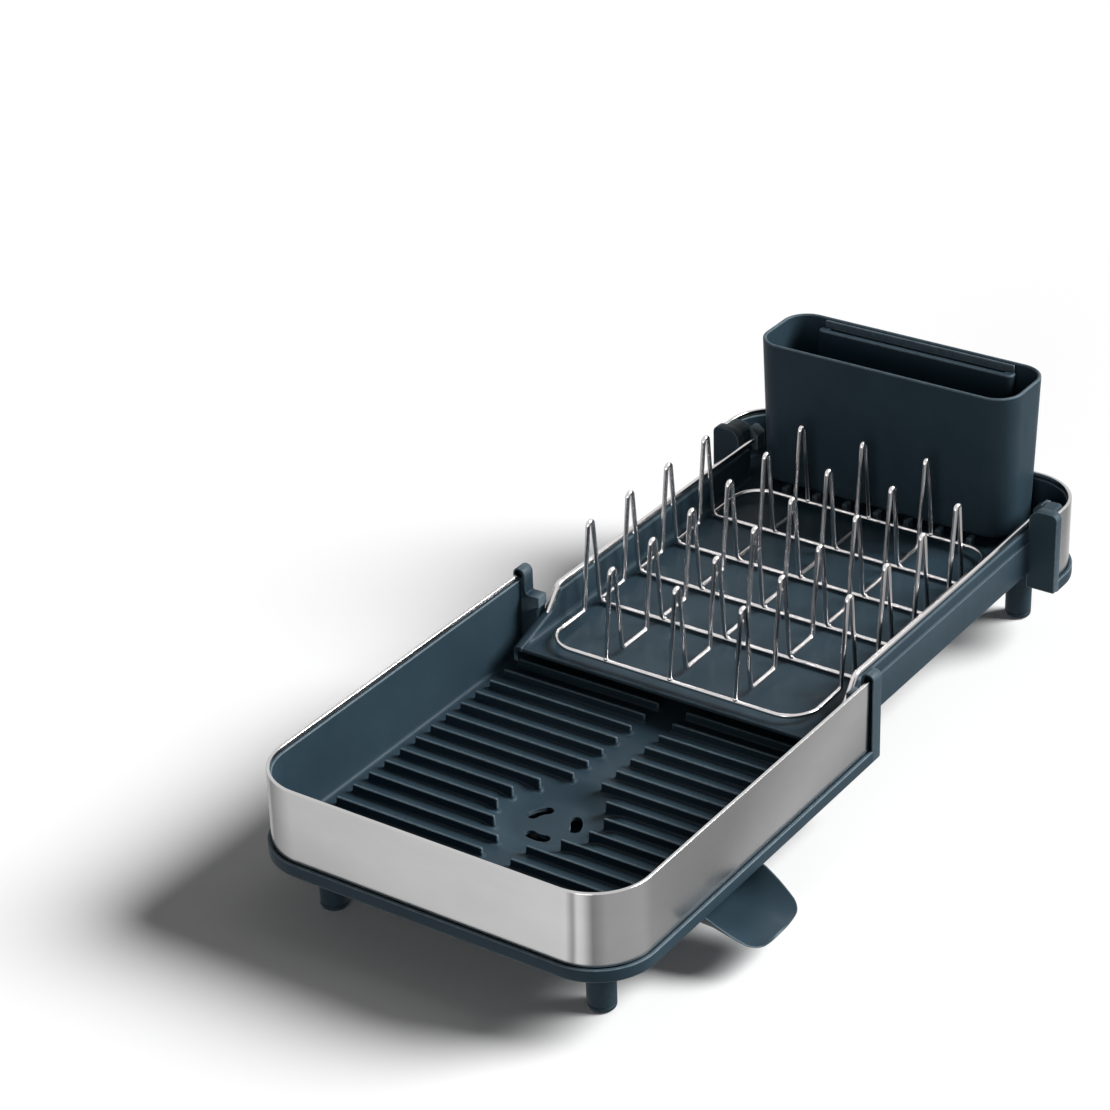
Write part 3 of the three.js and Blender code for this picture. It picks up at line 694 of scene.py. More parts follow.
@dataclass(frozen=True)
class SatinSteel:
    """Satin polished sheet: a bright metal with a very fine grain along the band."""

    name: str = "satin_steel"
    bright: Triple = (0.63, 0.625, 0.62)
    dull: Triple = (0.575, 0.575, 0.57)
    roughness: Pair = (0.15, 0.19)
    brushing: float = 0.75
    grain_depth: float = 0.000004

    def material(self) -> bpy.types.Material:
        """Builds the node tree: grain follows the band's own run, with clouds in the polish.

        Returns:
            The material.
        """
        r = Recipe(self.name)
        run = r.attribute("run").outputs["Vector"]
        grain = r.noise(r.stretched((60, 9000, 1), run), 1, 3, 0.7)
        cloud = r.noise(r.stretched((14, 30, 1), run), 1, 3, 0.6)
        r.feed({
            "Base Color": r.blend(r.span(cloud, (0.3, 0.7), (0, 1)), self.dull, self.bright),
            "Roughness": r.span(grain, (0.3, 0.7), self.roughness),
            "Normal": r.bump(grain, self.grain_depth, 0.35),
            "Metallic": 1, "Anisotropic": self.brushing, "Anisotropic Rotation": 0.25,
        })
        return r.material


@dataclass(frozen=True)
class ChromedWire:
    """Bright chromed wire, with a tone and polish that drift a little."""

    name: str = "chromed_wire"
    bright: Triple = (0.74, 0.72, 0.72)
    smoke: Triple = (0.68, 0.66, 0.66)
    roughness: Pair = (0.14, 0.16)

    def material(self) -> bpy.types.Material:
        """Builds the node tree: tone and polish drift along the wire.

        Returns:
            The material.
        """
        r = Recipe(self.name)
        drift = r.noise(r.place, 90, 3)
        r.feed({
            "Base Color": r.blend(r.span(drift, (0.3, 0.75), (0, 1)), self.bright, self.smoke),
            "Roughness": r.span(r.noise(r.place, 300, 2), (0.3, 0.7), self.roughness),
            "Metallic": 1,
        })
        return r.material


@dataclass(frozen=True)
class FootRubber:
    """Soft matte compound of the feet, with a fine stipple."""

    name: str = "foot_compound"
    deep: Triple = (0.020, 0.037, 0.050)
    pale: Triple = (0.029, 0.049, 0.063)
    roughness: Pair = (0.5, 0.65)
    gloss: float = 0.12
    stipple: float = 1900
    stipple_depth: float = 0.00004

    def material(self) -> bpy.types.Material:
        """Builds the node tree: stippled bump and a cloudy, dusty tone.

        Returns:
            The material.
        """
        r = Recipe(self.name)
        dust = r.noise(r.place, 180, 4, 0.65)
        r.feed({
            "Base Color": r.blend(r.span(dust, (0.35, 0.7), (0, 1)), self.deep, self.pale),
            "Roughness": r.span(dust, (0.3, 0.7), self.roughness),
            "Normal": r.bump(r.noise(r.place, self.stipple, 2), self.stipple_depth, 0.6),
            "Specular IOR Level": self.gloss,
        })
        return r.material


# Pieces


@dataclass
class Layout:
    """Where the rack's own layout lies in the frame, and the finishes that its pieces share."""

    origin: Points = field(init=False)
    finishes: dict[Slot, bpy.types.Material] = field(init=False)

    def __post_init__(self) -> None:
        """Finds the middle of the front band's outer face at floor level, and builds the materials."""
        low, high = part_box("front_band")
        self.origin = np.array([(low.x + high.x) / 2, low.y, 0.0])
        self.finishes = {
            Slot.PLASTIC: MouldedPlastic().material(), Slot.STEEL: SatinSteel().material(),
            Slot.CHROME: ChromedWire().material(), Slot.RUBBER: FootRubber().material(),
        }

    def world(self, points: Points) -> Points:
        """Metres in the frame's axes for millimetres in the layout."""
        return points * MM + self.origin

    def piece(self, name: str, shape: Shape, body: Body, slot: Slot, replaces: tuple[str, ...] = (),
              sharp_deg: float = 38, bevel: float = 0) -> bpy.types.Object:
        """Makes an object of a shape, dresses it and lets it ride on its body.

        Args:
            name: The object's name.
            shape: Its closed surfaces.
            body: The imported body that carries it.
            slot: The record's slot, which also picks the finish.
            replaces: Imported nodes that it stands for.
            sharp_deg: Edges that turn by more than this stay sharp.
            bevel: Width of a bevel on those edges, in millimetres.

        Returns:
            The object.
        """
        mesh = bpy.data.meshes.new(name)
        fill_mesh(mesh, self.world(shape.points), shape.faces)
        store(mesh, "run", "FLOAT_VECTOR", shape.runs)
        clean(mesh)
        mark_convexity(mesh)
        mesh.polygons.foreach_set("use_smooth", np.ones(len(mesh.polygons), bool))
        mesh.set_sharp_from_angle(angle=math.radians(sharp_deg))
        mesh.materials.append(self.finishes[slot])
        made = shown(name, mesh)
        if bevel:
            rounding = made.modifiers.new("edges", "BEVEL")
            rounding.width = bevel * MM
            rounding.segments = 2
            rounding.limit_method = "ANGLE"
            rounding.angle_limit = math.radians(sharp_deg)
            rounding.harden_normals = False
        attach(made, body.value)
        if replaces:
            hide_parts(*replaces)
        log.info("%s: %d faces on %s", name, len(mesh.polygons), body.value)
        return made


def shown(name: str, data: bpy.types.ID) -> bpy.types.Object:
    """Makes an object and puts it into the scene.

    Args:
        name: Its name.
        data: Its mesh, camera or light.

    Returns:
        The object.
    """
    made = bpy.data.objects.new(name, data)
    bpy.context.scene.collection.objects.link(made)
    return made


def stand(made: bpy.types.Object, x: Points, y: Points, z: Points, place: Points) -> None:
    """Turns and places an object: its three axes and its place are the columns of its matrix.

    Args:
        made: The object.
        x: Where its x axis points.
        y: Where its y axis points.
        z: Where its z axis points.
        place: Where it stands, in metres.
    """
    columns = np.stack([x, y, z, place], -1)
    made.matrix_world = Matrix(np.vstack([columns, [0, 0, 0, 1]]).tolist())


def fill_mesh(mesh: bpy.types.Mesh, points: Points, faces: list[Faces]) -> None:
    """Puts points and polygons of any number of corners into an empty mesh.

    Args:
        mesh: The empty mesh.
        points: Its points, in metres.
        faces: Arrays of faces. The faces of one array have the same number of corners.
    """
    corners = np.concatenate([f.ravel() for f in faces])
    totals = np.concatenate([np.full(len(f), f.shape[1]) for f in faces])
    starts = np.concatenate([[0], np.cumsum(totals)[:-1]])
    mesh.vertices.add(len(points))
    mesh.vertices.foreach_set("co", points.astype(np.float32).ravel())
    mesh.loops.add(len(corners))
    mesh.loops.foreach_set("vertex_index", corners.astype(np.int32))
    mesh.polygons.add(len(totals))
    mesh.polygons.foreach_set("loop_start", starts.astype(np.int32))
    mesh.polygons.foreach_set("loop_total", totals.astype(np.int32))
    mesh.update(calc_edges=True)


def clean(mesh: bpy.types.Mesh) -> None:
    """Closes seams and poles, drops faces of no area and turns all faces outwards.

    Args:
        mesh: The mesh.
    """
    edit = bmesh.new()
    edit.from_mesh(mesh)
    bmesh.ops.remove_doubles(edit, verts=edit.verts, dist=SEAM)
    bmesh.ops.dissolve_degenerate(edit, edges=edit.edges, dist=SLIVER)
    bmesh.ops.recalc_face_normals(edit, faces=edit.faces)
    edit.to_mesh(mesh)
    edit.free()


def store(mesh: bpy.types.Mesh, name: str, kind: str, values: Points) -> None:
    """Adds a point attribute, a number or a vector for each vertex."""
    attribute = mesh.attributes.new(name, kind, "POINT")
    attribute.data.foreach_set("vector" if kind == "FLOAT_VECTOR" else "value", values.astype(np.float32).ravel())


def mark_convexity(mesh: bpy.types.Mesh) -> None:
    """Stores how sharply the surface turns away at each vertex, in radians per millimetre.

    Along an edge that is 2 (edge . normal) / length squared, held between -1 and 1, and the vertex gets the mean.

    Args:
        mesh: The mesh.
    """
    count = len(mesh.vertices)
    at, normal = np.zeros(count * 3, np.float32), np.zeros(count * 3, np.float32)
    mesh.vertices.foreach_get("co", at)
    mesh.vertices.foreach_get("normal", normal)
    at, normal = at.reshape(-1, 3), normal.reshape(-1, 3)
    pairs = np.zeros(len(mesh.edges) * 2, np.int32)
    mesh.edges.foreach_get("vertices", pairs)
    a, b = pairs.reshape(-1, 2).T
    way = at[a] - at[b]
    per_mm = 0.002 / np.maximum((way**2).sum(-1), 1e-12)
    total, degree = np.zeros(count), np.zeros(count)
    np.add.at(total, a, np.clip((way * normal[a]).sum(-1) * per_mm, -1, 1))
    np.add.at(total, b, np.clip(-(way * normal[b]).sum(-1) * per_mm, -1, 1))
    np.add.at(degree, a, 1)
    np.add.at(degree, b, 1)
    store(mesh, "convexity", "FLOAT", total / np.maximum(degree, 1))


# Sub-assemblies


@dataclass
class Horseshoe:
    """Plan that both modules share: a straight front with two round corners and two straight sides."""

    width: float = 250
    corner: float = 36
    front_end: float = 270.6
    wall_end: float = 271
    rear_start: float = 513.8
    rear_end: float = 559.8
    facets: int = 24

    def stations(self, length: float) -> tuple[Points, Points]:
        """Outer face of the front module's U and its outward normals, open at y = length.

        The corners' stations are their centres plus the radius times (cos a, sin a), a being the normal's angle.

        Args:
            length: Place of the open end along y.

        Returns:
            The points, and their normals.
        """
        half, r, steps = self.width / 2, self.corner, 8
        run = np.linspace(0, 1, steps + 1)[:-1, None]
        angle = np.linspace(HALF_TURN, 2 * HALF_TURN, 2 * self.facets + 2)
        normal = np.stack([np.cos(angle), np.sin(angle)], -1)
        centre = np.where(angle[:, None] < 1.5 * HALF_TURN, np.array([r - half, r]), np.array([half - r, r]))
        arcs = centre + r * normal
        left = np.array([-half, length]) + run * (arcs[0] - np.array([-half, length]))
        right = arcs[-1] + (1 - run[::-1]) * (np.array([half, length]) - arcs[-1])
        outward = np.concatenate([np.tile([-1.0, 0.0], (steps, 1)), normal, np.tile([1.0, 0.0], (steps, 1))])
        return np.concatenate([left, arcs, right]), outward

    def front(self, end: float) -> tuple[Points, Points]:
        """Stations of the front module."""
        return self.stations(end)

    def rear(self, start: float) -> tuple[Points, Points]:
        """Stations of the rear end: the same U turned about, open before y = start."""
        at, out = self.stations(self.rear_end - start)
        return np.array([0, self.rear_end]) + at * [1, -1], out * [1, -1]


@dataclass
class SteelBands:
    """The two bent steel bands, each with a folded hem along its top edge."""

    layout: Layout
    plan: Horseshoe
    bottom: float = 49.2
    top: float = 96.3
    sheet: float = 0.9
    hem_width: float = 2.3
    hem_height: float = 2.4

    def profile(self) -> Points:
        """Loop of the sheet with its hem, the fold rounded outside and in.

        Returns:
            Points of (inset, z).
        """
        hem = self.top - self.hem_height
        corners = [[0, self.bottom], [0, self.top], [self.hem_width, self.top], [self.hem_width, hem],
                   [self.sheet, hem], [self.sheet, self.bottom]]
        return bend(corners, [0.25, 0.85, 0.85, 0.35, 0, 0.25], 6, closed=True)

    def build(self) -> None:
        """Makes both bands."""
        for name, body, (at, out) in (
            ("front_band", Body.FRONT, self.plan.front(self.plan.front_end)),
            ("rear_band", Body.EXTENSION, self.plan.rear(self.plan.rear_start)),
        ):
            self.layout.piece(f"{name}_sheet", carried(self.profile(), at, out), body, Slot.STEEL, (name,))


@dataclass
class MouldedWalls:
    """The moulded wall of both modules: a lip outside, a ledge under the band and a liner inside it."""

    layout: Layout
    plan: Horseshoe
    lip_proud: float = 2.4
    lip_bottom: float = 40
    ledge: float = 48.9
    liner_out: float = 1.2
    liner_in: float = 3.2
    liner_top: float = 92.7
    front_floor: float = 43
    rear_floor: float = 62.8
    overlap: float = 0.5
    fillet: float = 3
    seat_gap: float = 0.6
    seat_depth: float = 0.9

    def profile(self, floor: float) -> Points:
        """Loop of the wall: rounded lip, the groove that the band stands in, liner, and a fillet down to the floor.

        Args:
            floor: The floor's height.

        Returns:
            Points of (inset, z).
        """
        seat, toe = self.ledge - self.seat_depth, self.liner_in + self.fillet + 1.5
        corners = [
            [-self.lip_proud, self.lip_bottom], [-self.lip_proud, self.ledge], [-self.seat_gap, self.ledge],
            [-self.seat_gap, seat], [self.liner_out, seat], [self.liner_out, self.liner_top],
            [self.liner_in, self.liner_top], [self.liner_in, floor], [toe, floor - 0.12], [toe, floor - 1.6],
            [self.liner_in, floor - 1.8], [self.liner_in, self.lip_bottom],
        ]
        return bend(corners, [2.2, 0.7, 0.2, 0.1, 0.1, 0.9, 0.9, self.fillet, 0.2, 0, 0, 0.4], 6, closed=True)

    def build(self) -> None:
        """Makes both walls."""
        for place, body, floor, (at, out) in (
            ("front", Body.FRONT, self.front_floor, self.plan.front(self.plan.wall_end + self.overlap)),
            ("rear", Body.EXTENSION, self.rear_floor, self.plan.rear(self.plan.rear_start - self.overlap)),
        ):
            self.layout.piece(f"{place}_wall", carried(self.profile(floor), at, out), body, Slot.PLASTIC,
                              (f"{place}_tray",))


@dataclass
class DrainFloor:
    """The front module's floor: a shallow dish with three kidney slots, banks of ribs and its underside."""

    layout: Layout
    plan: Horseshoe
    y: float = 122.5
    top: float = 43
    thick: float = 2.6
    dish_depth: float = 5.8
    dish_flat: float = 21
    dish_radius: float = 44
    slot_ring: float = 14.8
    slot_width: float = 7.1
    slot_half_deg: float = 19.2
    settle: float = 6
    rib_pitch: float = 15.4
    rib_top: float = 48.3
    rib_wall: float = 2
    ribs_before: int = 7
    ribs_behind: int = 9
    clear: float = 32.5
    channel: float = 9.7
    rib_reach: float = 112.8
    floor_end: float = 280.2
    border: float = 2.2
    collar: Pair = (20.9, 22.5)
    boss: float = 6
    bottom: float = 40
    sill_top: float = 52.5

    def slot_reach(self, r: Points) -> Points:
        """Angle that the slots' round ends add at a radius.

        On the end's circle, r squared + ring squared - 2 r ring cos(angle) is the end's radius squared.

        Args:
            r: Radii from the drain's middle.

        Returns:
            The angles, 0 past the end's circle.
        """
        end = self.slot_width / 2
        cosine = (r**2 + self.slot_ring**2 - end**2) / (2 * r * self.slot_ring + 1e-9)
        inside = np.abs(r - self.slot_ring) < end - 1e-9
        return np.where(inside, np.arccos(np.clip(cosine, -1, 1)), 0)

    def drop(self, x: Points, y: Points) -> Points:
        """How far the floor lies below its top: the dish's depth, less a smooth step between its two radii."""
        out = (np.hypot(x, y - self.y) - self.dish_flat) / (self.dish_radius - self.dish_flat)
        return self.dish_depth * (1 - smooth(out))

    def floor(self) -> Shape:
        """Floor over a polar grid about the drain, warped so that its lines follow the slots' ends.

        The radius goes from the pole past the slots to the dish's rim, and from there on each point is a share of
        the way to the module's outline. The height drops by the dish's depth with a smooth step inside its rim.

        Returns:
            The floor.
        """
        band = self.slot_ring - np.cos(np.linspace(0, HALF_TURN, 11)) * self.slot_width / 2
        inside, outside = [0.01, 0.3, 4, 7.5, 9.6, 10.6], [19.6, 21, 23, *np.linspace(25, self.dish_radius, 12)]
        near = np.concatenate([inside, band, outside])
        widest = float(self.slot_reach(np.array([self.slot_ring]))[0])
        end, third = math.radians(self.slot_half_deg), HALF_TURN / 3
        half = np.concatenate([np.linspace(0, end + widest, 15), np.linspace(end + widest, third, 11)[1:]])
        sector = np.concatenate([-half[:0:-1], half[:-1]])
        nominal = np.concatenate([sector + math.radians(a) for a in (-90, 30, 150)])
        r = near[:, None]
        relative = np.tile(sector, 3)[None]
        settled = smooth((r - band[-1]) / self.settle)
        edge = end + np.where(r > band[-1], widest * settled, self.slot_reach(r))
        inner = np.abs(relative) / (end + widest) * edge
        outer = edge + (np.abs(relative) - end - widest) / (third - end - widest) * (third - edge)
        angle = nominal[None] - relative + np.sign(relative) * np.where(np.abs(relative) <= end + widest, inner, outer)
        disc = np.stack([r * np.cos(angle), self.y + r * np.sin(angle)], -1)
        far = self.outline(nominal)
        ring = disc[-1]
        s = np.linspace(0, 1, 9)[1:, None, None]
        flat = np.concatenate([disc, ring[None] * (1 - s) + far[None] * s])
        top = zipped(flat[..., 0], flat[..., 1], self.top - self.drop(flat[..., 0], flat[..., 1]))
        keep = np.ones((len(flat) - 1, len(nominal)), bool)
        middle = (sector + np.roll(sector, -1)) / 2
        middle[-1] = third
        in_slot = np.tile(np.abs(middle) < end + widest, 3)
        keep[len(inside):len(inside) + len(band) - 1] = ~in_slot[None]
        return slab(top, top - self.thick * UP, keep, True)

    def outline(self, angle: Points) -> Points:
        """Points of the floor's edge, in the middle of the liner, in the given directions from the drain.

        The distance is the least of those to the four straight sides, and in the corners that to the corner's circle.

        Args:
            angle: Directions from the drain's middle.

        Returns:
            Points of (x, y).
        """
        half, start, end = self.plan.width / 2 - self.border, self.border, self.floor_end
        c, s = np.cos(angle), np.sin(angle)
        to_x = half / np.maximum(np.abs(c), 1e-9)
        to_y = np.where(s > 0, end - self.y, self.y - start) / np.maximum(np.abs(s), 1e-9)
        reach = np.minimum(to_x, to_y)
        r = self.plan.corner - self.border
        centre = np.stack([np.sign(c) * (half - r), np.full_like(c, start + r - self.y)], -1)
        along = centre[:, 0] * c + centre[:, 1] * s
        gap = r**2 - (centre**2).sum(-1) + along**2
        round_reach = along + np.sqrt(np.maximum(gap, 0))
        point = np.stack([reach * c, reach * s], -1)
        in_corner = (np.abs(point[:, 0]) > half - r) & (point[:, 1] < start + r - self.y) & (gap > 0)
        reach = np.where(in_corner, round_reach, reach)
        return np.stack([reach * c, self.y + reach * s], -1)

    def ribs(self) -> Shape:
        """Both banks of ribs, each a stack of round-ended loops from its filleted foot on the floor to its round top.

        The foot's loops grow by the fillet times (1 - sin a) while they rise by the fillet times (1 - cos a) from
        the floor's own height, and the top's shrink and rise by the rim in the same way. A rib ends where the circle
        round the drain, or the channel through it, begins.

        Returns:
            The ribs.
        """
        foot, rim, draft, steps = 1.6, 0.75, 0.25, 6
        aside, along = quarter_round(steps)
        grow = np.concatenate([[draft + foot], draft + foot * aside, -rim * along])
        rise = np.concatenate([[-0.4], foot * along, self.rib_top - self.top - rim * aside])
        on_floor = np.concatenate([np.ones(steps + 1), np.zeros(steps)])
        row = np.arange(-self.ribs_before, self.ribs_behind) + 0.5
        y = self.y + row * self.rib_pitch
        inner = np.maximum(chord(self.clear, y - self.y), self.channel)
        half = self.rib_wall / 2
        turn = np.linspace(-QUARTER_TURN, QUARTER_TURN, 9)
        share = np.linspace(0, 1, 14)[1:-1]
        shape = (len(row), len(grow))
        wide = (half + grow)[None, :, None]
        near, far = (inner + half)[:, None, None], np.full((len(row), 1, 1), self.rib_reach - half)
        there = np.broadcast_to(far - (far - near) * share, (*shape, len(share)))
        back = np.broadcast_to(near + (far - near) * share, (*shape, len(share)))
        x = np.concatenate([far + wide * np.cos(turn), there, near - wide * np.cos(turn), back], -1)
        level = np.broadcast_to(wide, there.shape)
        across = np.broadcast_to(wide * np.sin(turn), (*shape, len(turn)))
        gy = y[:, None, None] + np.concatenate([across, level, -across, -level], -1)
        z = self.top + rise[None, :, None] - on_floor[None, :, None] * self.drop(x, gy)
        grid = np.stack([x, gy, z], -1)
        return Shape.joined(*[skin(g) for g in grid]).both_sides()

    def underside(self) -> Shape:
        """Collar and boss over the spout, sockets of the four feet and the sill under the far edge.

        Returns:
            All of them.
        """
        low = self.top - self.dish_depth - self.thick
        inner, outer = self.collar
        collar = bend([[inner, low + 1], [inner, low - 3], [outer, low - 3], [outer, low + 1]], 0.5, 4)
        boss = bend([[0.01, low - 2.7], [self.boss, low - 2.7], [self.boss, low + 1]], 0.6, 4)
        parts = [turned(np.vstack([collar, collar[:1]]), 0, self.y, 64), turned(boss, 0, self.y, 32)]
        parts += foot_sockets(("front", "middle"), self.bottom, 42)
        half = self.plan.width / 2 - self.border
        sill = [[-half, self.bottom], [half, self.bottom], [half, self.sill_top], [-half, self.sill_top]]
        parts.append(pillow(bend(sill, 0.8, 4, closed=True), self.floor_end - 3, self.floor_end, 0.6, "y"))
        return Shape.joined(*parts)

    def build(self) -> None:
        """Makes the floor, its ribs and its underside."""
        for name, shape, bevel in (("front_floor", self.floor(), 0.35), ("front_ribs", self.ribs(), 0),
                                   ("front_underside", self.underside(), 0)):
            self.layout.piece(name, shape, Body.FRONT, Slot.PLASTIC, ("front_tray",), bevel=bevel)


@dataclass
class EndPosts:
    """Moulded posts that end the walls of both modules, and the shoulders that hold the rails."""

    layout: Layout
    out: float = 127.4
    inner: float = 110
    low: float = 40
    front: Pair = (271, 280.2)
    front_top: float = 100.3
    upper_inner: float = 118.5
    notch: Pair = (120.5, 93.6)
    shoulder: float = 83.3
    nose: Pair = (108.8, 76)
    groove: Pair = (123.8, 126.2)
    groove_low: float = 48.9
    groove_end: float = 276
    roof: float = 1.2
    rear: Pair = (506.5, 513.5)
    rear_inner: float = 107.7
    rear_top: float = 97.9
    block: Pair = (122.4, 75.4)
    block_end: float = 526
    nub: Pair = (522.8, 532.8)
    edge: float = 0.6

    def front_posts(self) -> Shape:
        """One skin of loops along y: round far rim, near rim, and the groove that takes the band's end.

        The groove's loop has as many corners as the post's, so that the near face is one ring between them.

        Returns:
            Both posts.
        """
        start, end = self.front
        top, inner = self.front_top, self.upper_inner
        (notch_x, notch_z), (nose_x, nose_z) = self.notch, self.nose
        corners = [[self.inner, self.low], [self.out, self.low], [self.out, top], [inner, top], [inner, notch_z],
                   [inner, self.shoulder], [nose_x, self.shoulder], [nose_x, nose_z], [self.inner, nose_z]]
        radii = [0.5, 2.2, 4.4, 4.4, 0, 0.8, 0.4, 0.4, 0.3]
        near, far = self.groove
        roof = top - self.roof
        slot = [[near, self.groove_low], [far, self.groove_low], [far, roof], [notch_x, roof], [notch_x, notch_z],
                [near, notch_z], *([near, z] for z in (79, 72, 68))]
        slot_radii = [0.3, 0.3, 2.85, 2.85, 0, 0, 0, 0, 0]
        levels = np.concatenate([rim_levels(end, self.edge, -1, border=0.35), rim_levels(start, 0.5, 1)[::-1]])
        loops = [inset_loop(corners, radii, float(d), 6) for d in levels[:, 0]]
        loops += [inset_loop(slot, slot_radii, d, 6) for d in (-0.3, 0, 0)]
        y = np.concatenate([levels[:, 1], [start, start + 0.3, self.groove_end]])
        return skin(upright(np.stack(loops), y)).both_sides()

    def rear_posts(self) -> Shape:
        """Face with a wide inboard shoulder, and behind it a narrower block and the nub over the rail's end.

        Returns:
            Both posts.
        """
        start, end = self.rear
        inner, top = self.rear_inner, self.rear_top
        face = [[inner, self.low + 2], [self.out, self.low + 2], [self.out, top], [inner, top]]
        both = block_levels(start, end, self.edge, 0.35)
        side, low = self.block
        back = [[inner + 0.3, low], [side, low], [side, top - 0.3], [inner + 0.3, top - 0.3]]
        rear_end = np.concatenate([[[0, end - 4]], rim_levels(self.block_end, 2.5, -1, 7, 0.35)[::-1]])
        nub = [[102.5, 78.4], [110.4, 78.4], [110.4, 93.5], [107.4, 93.4], [102.5, 89.4]]
        small = block_levels(*self.nub, 0.7)
        parts = [post(face, [0.4, 0.8, 4.4, 8], both), post(back, [2.6, 2.6, 3, 7.7], rear_end),
                 post(nub, [0.8, 0.8, 1.2, 1, 1], small)]
        return Shape.joined(*parts).both_sides()

    def build(self) -> None:
        """Makes the posts of both modules."""
        self.layout.piece("front_posts", self.front_posts(), Body.FRONT, Slot.PLASTIC, ("front_tray",))
        self.layout.piece("rear_posts", self.rear_posts(), Body.EXTENSION, Slot.PLASTIC, ("rear_tray",))


@dataclass
class Extension:
    """The sliding extension: floor, side walls, studs, foot sockets and the two rails."""

    layout: Layout
    plan: Horseshoe
    near: float = 244
    far: float = 514
    skirt: float = 109.4
    skirt_in: float = 106.6
    skirt_bottom: float = 52.8
    skirt_step: float = 75.4
    wall_top: float = 83.9
    wall_out: float = 108.2
    wall_in: float = 102.8
    wall_low: float = 60.2
    floor: float = 62.8
    thick: float = 2.6
    slope_end: float = 279
    slope_top: float = 74
    step_end: float = 288
    rail_x: float = 105.5
    rail_z: float = 86.4
    rail_radius: float = 1.9
    rail_start: float = 288.2
    rail_end: float = 529.8
    rail_dive: float = 19
    rail_dive_deg: float = 50
    well_start: float = 507.5
    well_x: float = 89
    well_y: float = 523.8
    well_radius: float = 33.8
    stud_rows: Pair = (500.6, 547.8)
    stud_pitch: float = 22.85
    stud_size: Pair = (3.6, 7)
    stud_top: float = 68.8
    bottom: float = 40

    def wall_height(self, y: Points) -> Points:
        """Top of the side wall: a gentle rise from the floor's near edge, then a steep one up to full height."""
        return np.interp(y, [self.near, self.slope_end, self.step_end], [self.floor, self.slope_top, self.wall_top])

    def sides(self) -> Shape:
        """Section of the side wall carried along it, its upper points lowered where the wall rises from the floor.

        Points of the round top keep their distance below the top, and the others are held below that round.

        Returns:
            Both sides.
        """
        round_top = 1.7
        section = bend([
            [self.skirt_in, self.skirt_bottom], [self.skirt, self.skirt_bottom], [self.skirt, self.skirt_step],
            [self.wall_out, self.skirt_step + 0.9], [self.wall_out, self.wall_top], [self.wall_in, self.wall_top],
            [self.wall_in, self.wall_low], [self.skirt_in, self.wall_low],
        ], [0.4, 0.7, 0.5, 0.6, round_top, round_top, 0.3, 0.8], 6, closed=True)
        y = np.concatenate([np.linspace(self.near, self.slope_end, 12), np.linspace(self.slope_end, self.step_end, 10),
                            np.linspace(self.step_end, self.far, 24)])
        y = np.unique(np.round(y, 6))
        top = self.wall_height(y)[None]
        z = section[:, 1:]
        in_round = z > self.wall_top - round_top
        lowered = np.where(in_round, top - (self.wall_top - z), np.minimum(z, top - round_top))
        return bar(zipped(section[:, :1], y, lowered)).both_sides()

    def deck(self) -> Shape:
        """Floor between the side walls, as a height over (x, y).

        The height rises by a quarter round into the side walls and rolls down by one at the near edge.

        Returns:
            The deck.
        """
        half, roll, fillet = self.wall_in + 0.6, 1.4, 3.2
        x = np.concatenate([np.linspace(-half, -half + 6, 13), np.linspace(-half + 8, half - 8, 26),
                            np.linspace(half - 6, half, 13)])
        y = np.concatenate([self.near + roll * quarter_round(6)[1], np.linspace(self.near + 4, self.far, 60)])
        gy, gx = np.meshgrid(y, x, indexing="ij")
        into_wall = np.clip(np.abs(gx) - (self.wall_in - fillet), 0, fillet)
        into_edge = np.clip(self.near + roll - gy, 0, roll)
        rise = fillet - chord(fillet, into_wall)
        rise = np.minimum(rise, np.maximum(self.wall_height(gy) - self.floor - 0.6, 0))
        fall = roll - chord(roll, into_edge)
        top = zipped(gx, gy, self.floor + rise - fall)
        bottom = zipped(gx, gy, self.floor - self.thick + fall * 0.3)
        return slab(top, bottom, np.ones((len(y) - 1, len(x) - 1), bool), False)

    def well(self) -> Shape:
        """Floor inside the rear end: each row spans the U's inner width at its y.

        Returns:
            The floor.
        """
        round_end = self.well_y + self.well_radius * np.sin(np.linspace(0, QUARTER_TURN, 22))
        y = np.concatenate([np.linspace(self.well_start, self.well_y, 6), round_end[1:]])
        depth = np.maximum(y - self.well_y, 0)
        half = self.well_x + chord(self.well_radius, depth)
        share = np.linspace(-1, 1, 40)
        top = zipped(half[:, None] * share, y[:, None], self.floor - 0.02)
        return slab(top, top - self.thick * UP, np.ones((len(y) - 1, len(share) - 1), bool), False)

    def studs(self) -> Shape:
        """Two rows of studs under the holder, and the sockets of the rear feet.

        Returns:
            The studs and the sockets.
        """
        half, length = self.stud_size[0] / 2, self.stud_size[1]
        plan = bend([[-half, 0], [half, 0], [half, length], [-half, length]], 0.8, 4, closed=True)
        stud = pillow(plan, self.floor - 1, self.stud_top, 0.5, "z")
        parts = [stud.moved(k * self.stud_pitch, row) for row in self.stud_rows for k in range(-3, 4)]
        return Shape.joined(*parts, *foot_sockets(("rear",), self.bottom, 61))

    def rail(self, side: Side) -> Shape:
        """Wire down into the wall at its near end, straight, and into the socket at its far end.

        Args:
            side: The side of the rack.

        Returns:
            The wire.
        """
        x, dive = side.value * self.rail_x, math.radians(self.rail_dive_deg)
        near = [x, self.rail_start - self.rail_dive * math.cos(dive), self.rail_z - self.rail_dive * math.sin(dive)]
        corners = [near, [x, self.rail_start, self.rail_z], [x, self.rail_end, self.rail_z]]
        return tube(bend(corners, 6, 14), self.rail_radius, ACROSS)

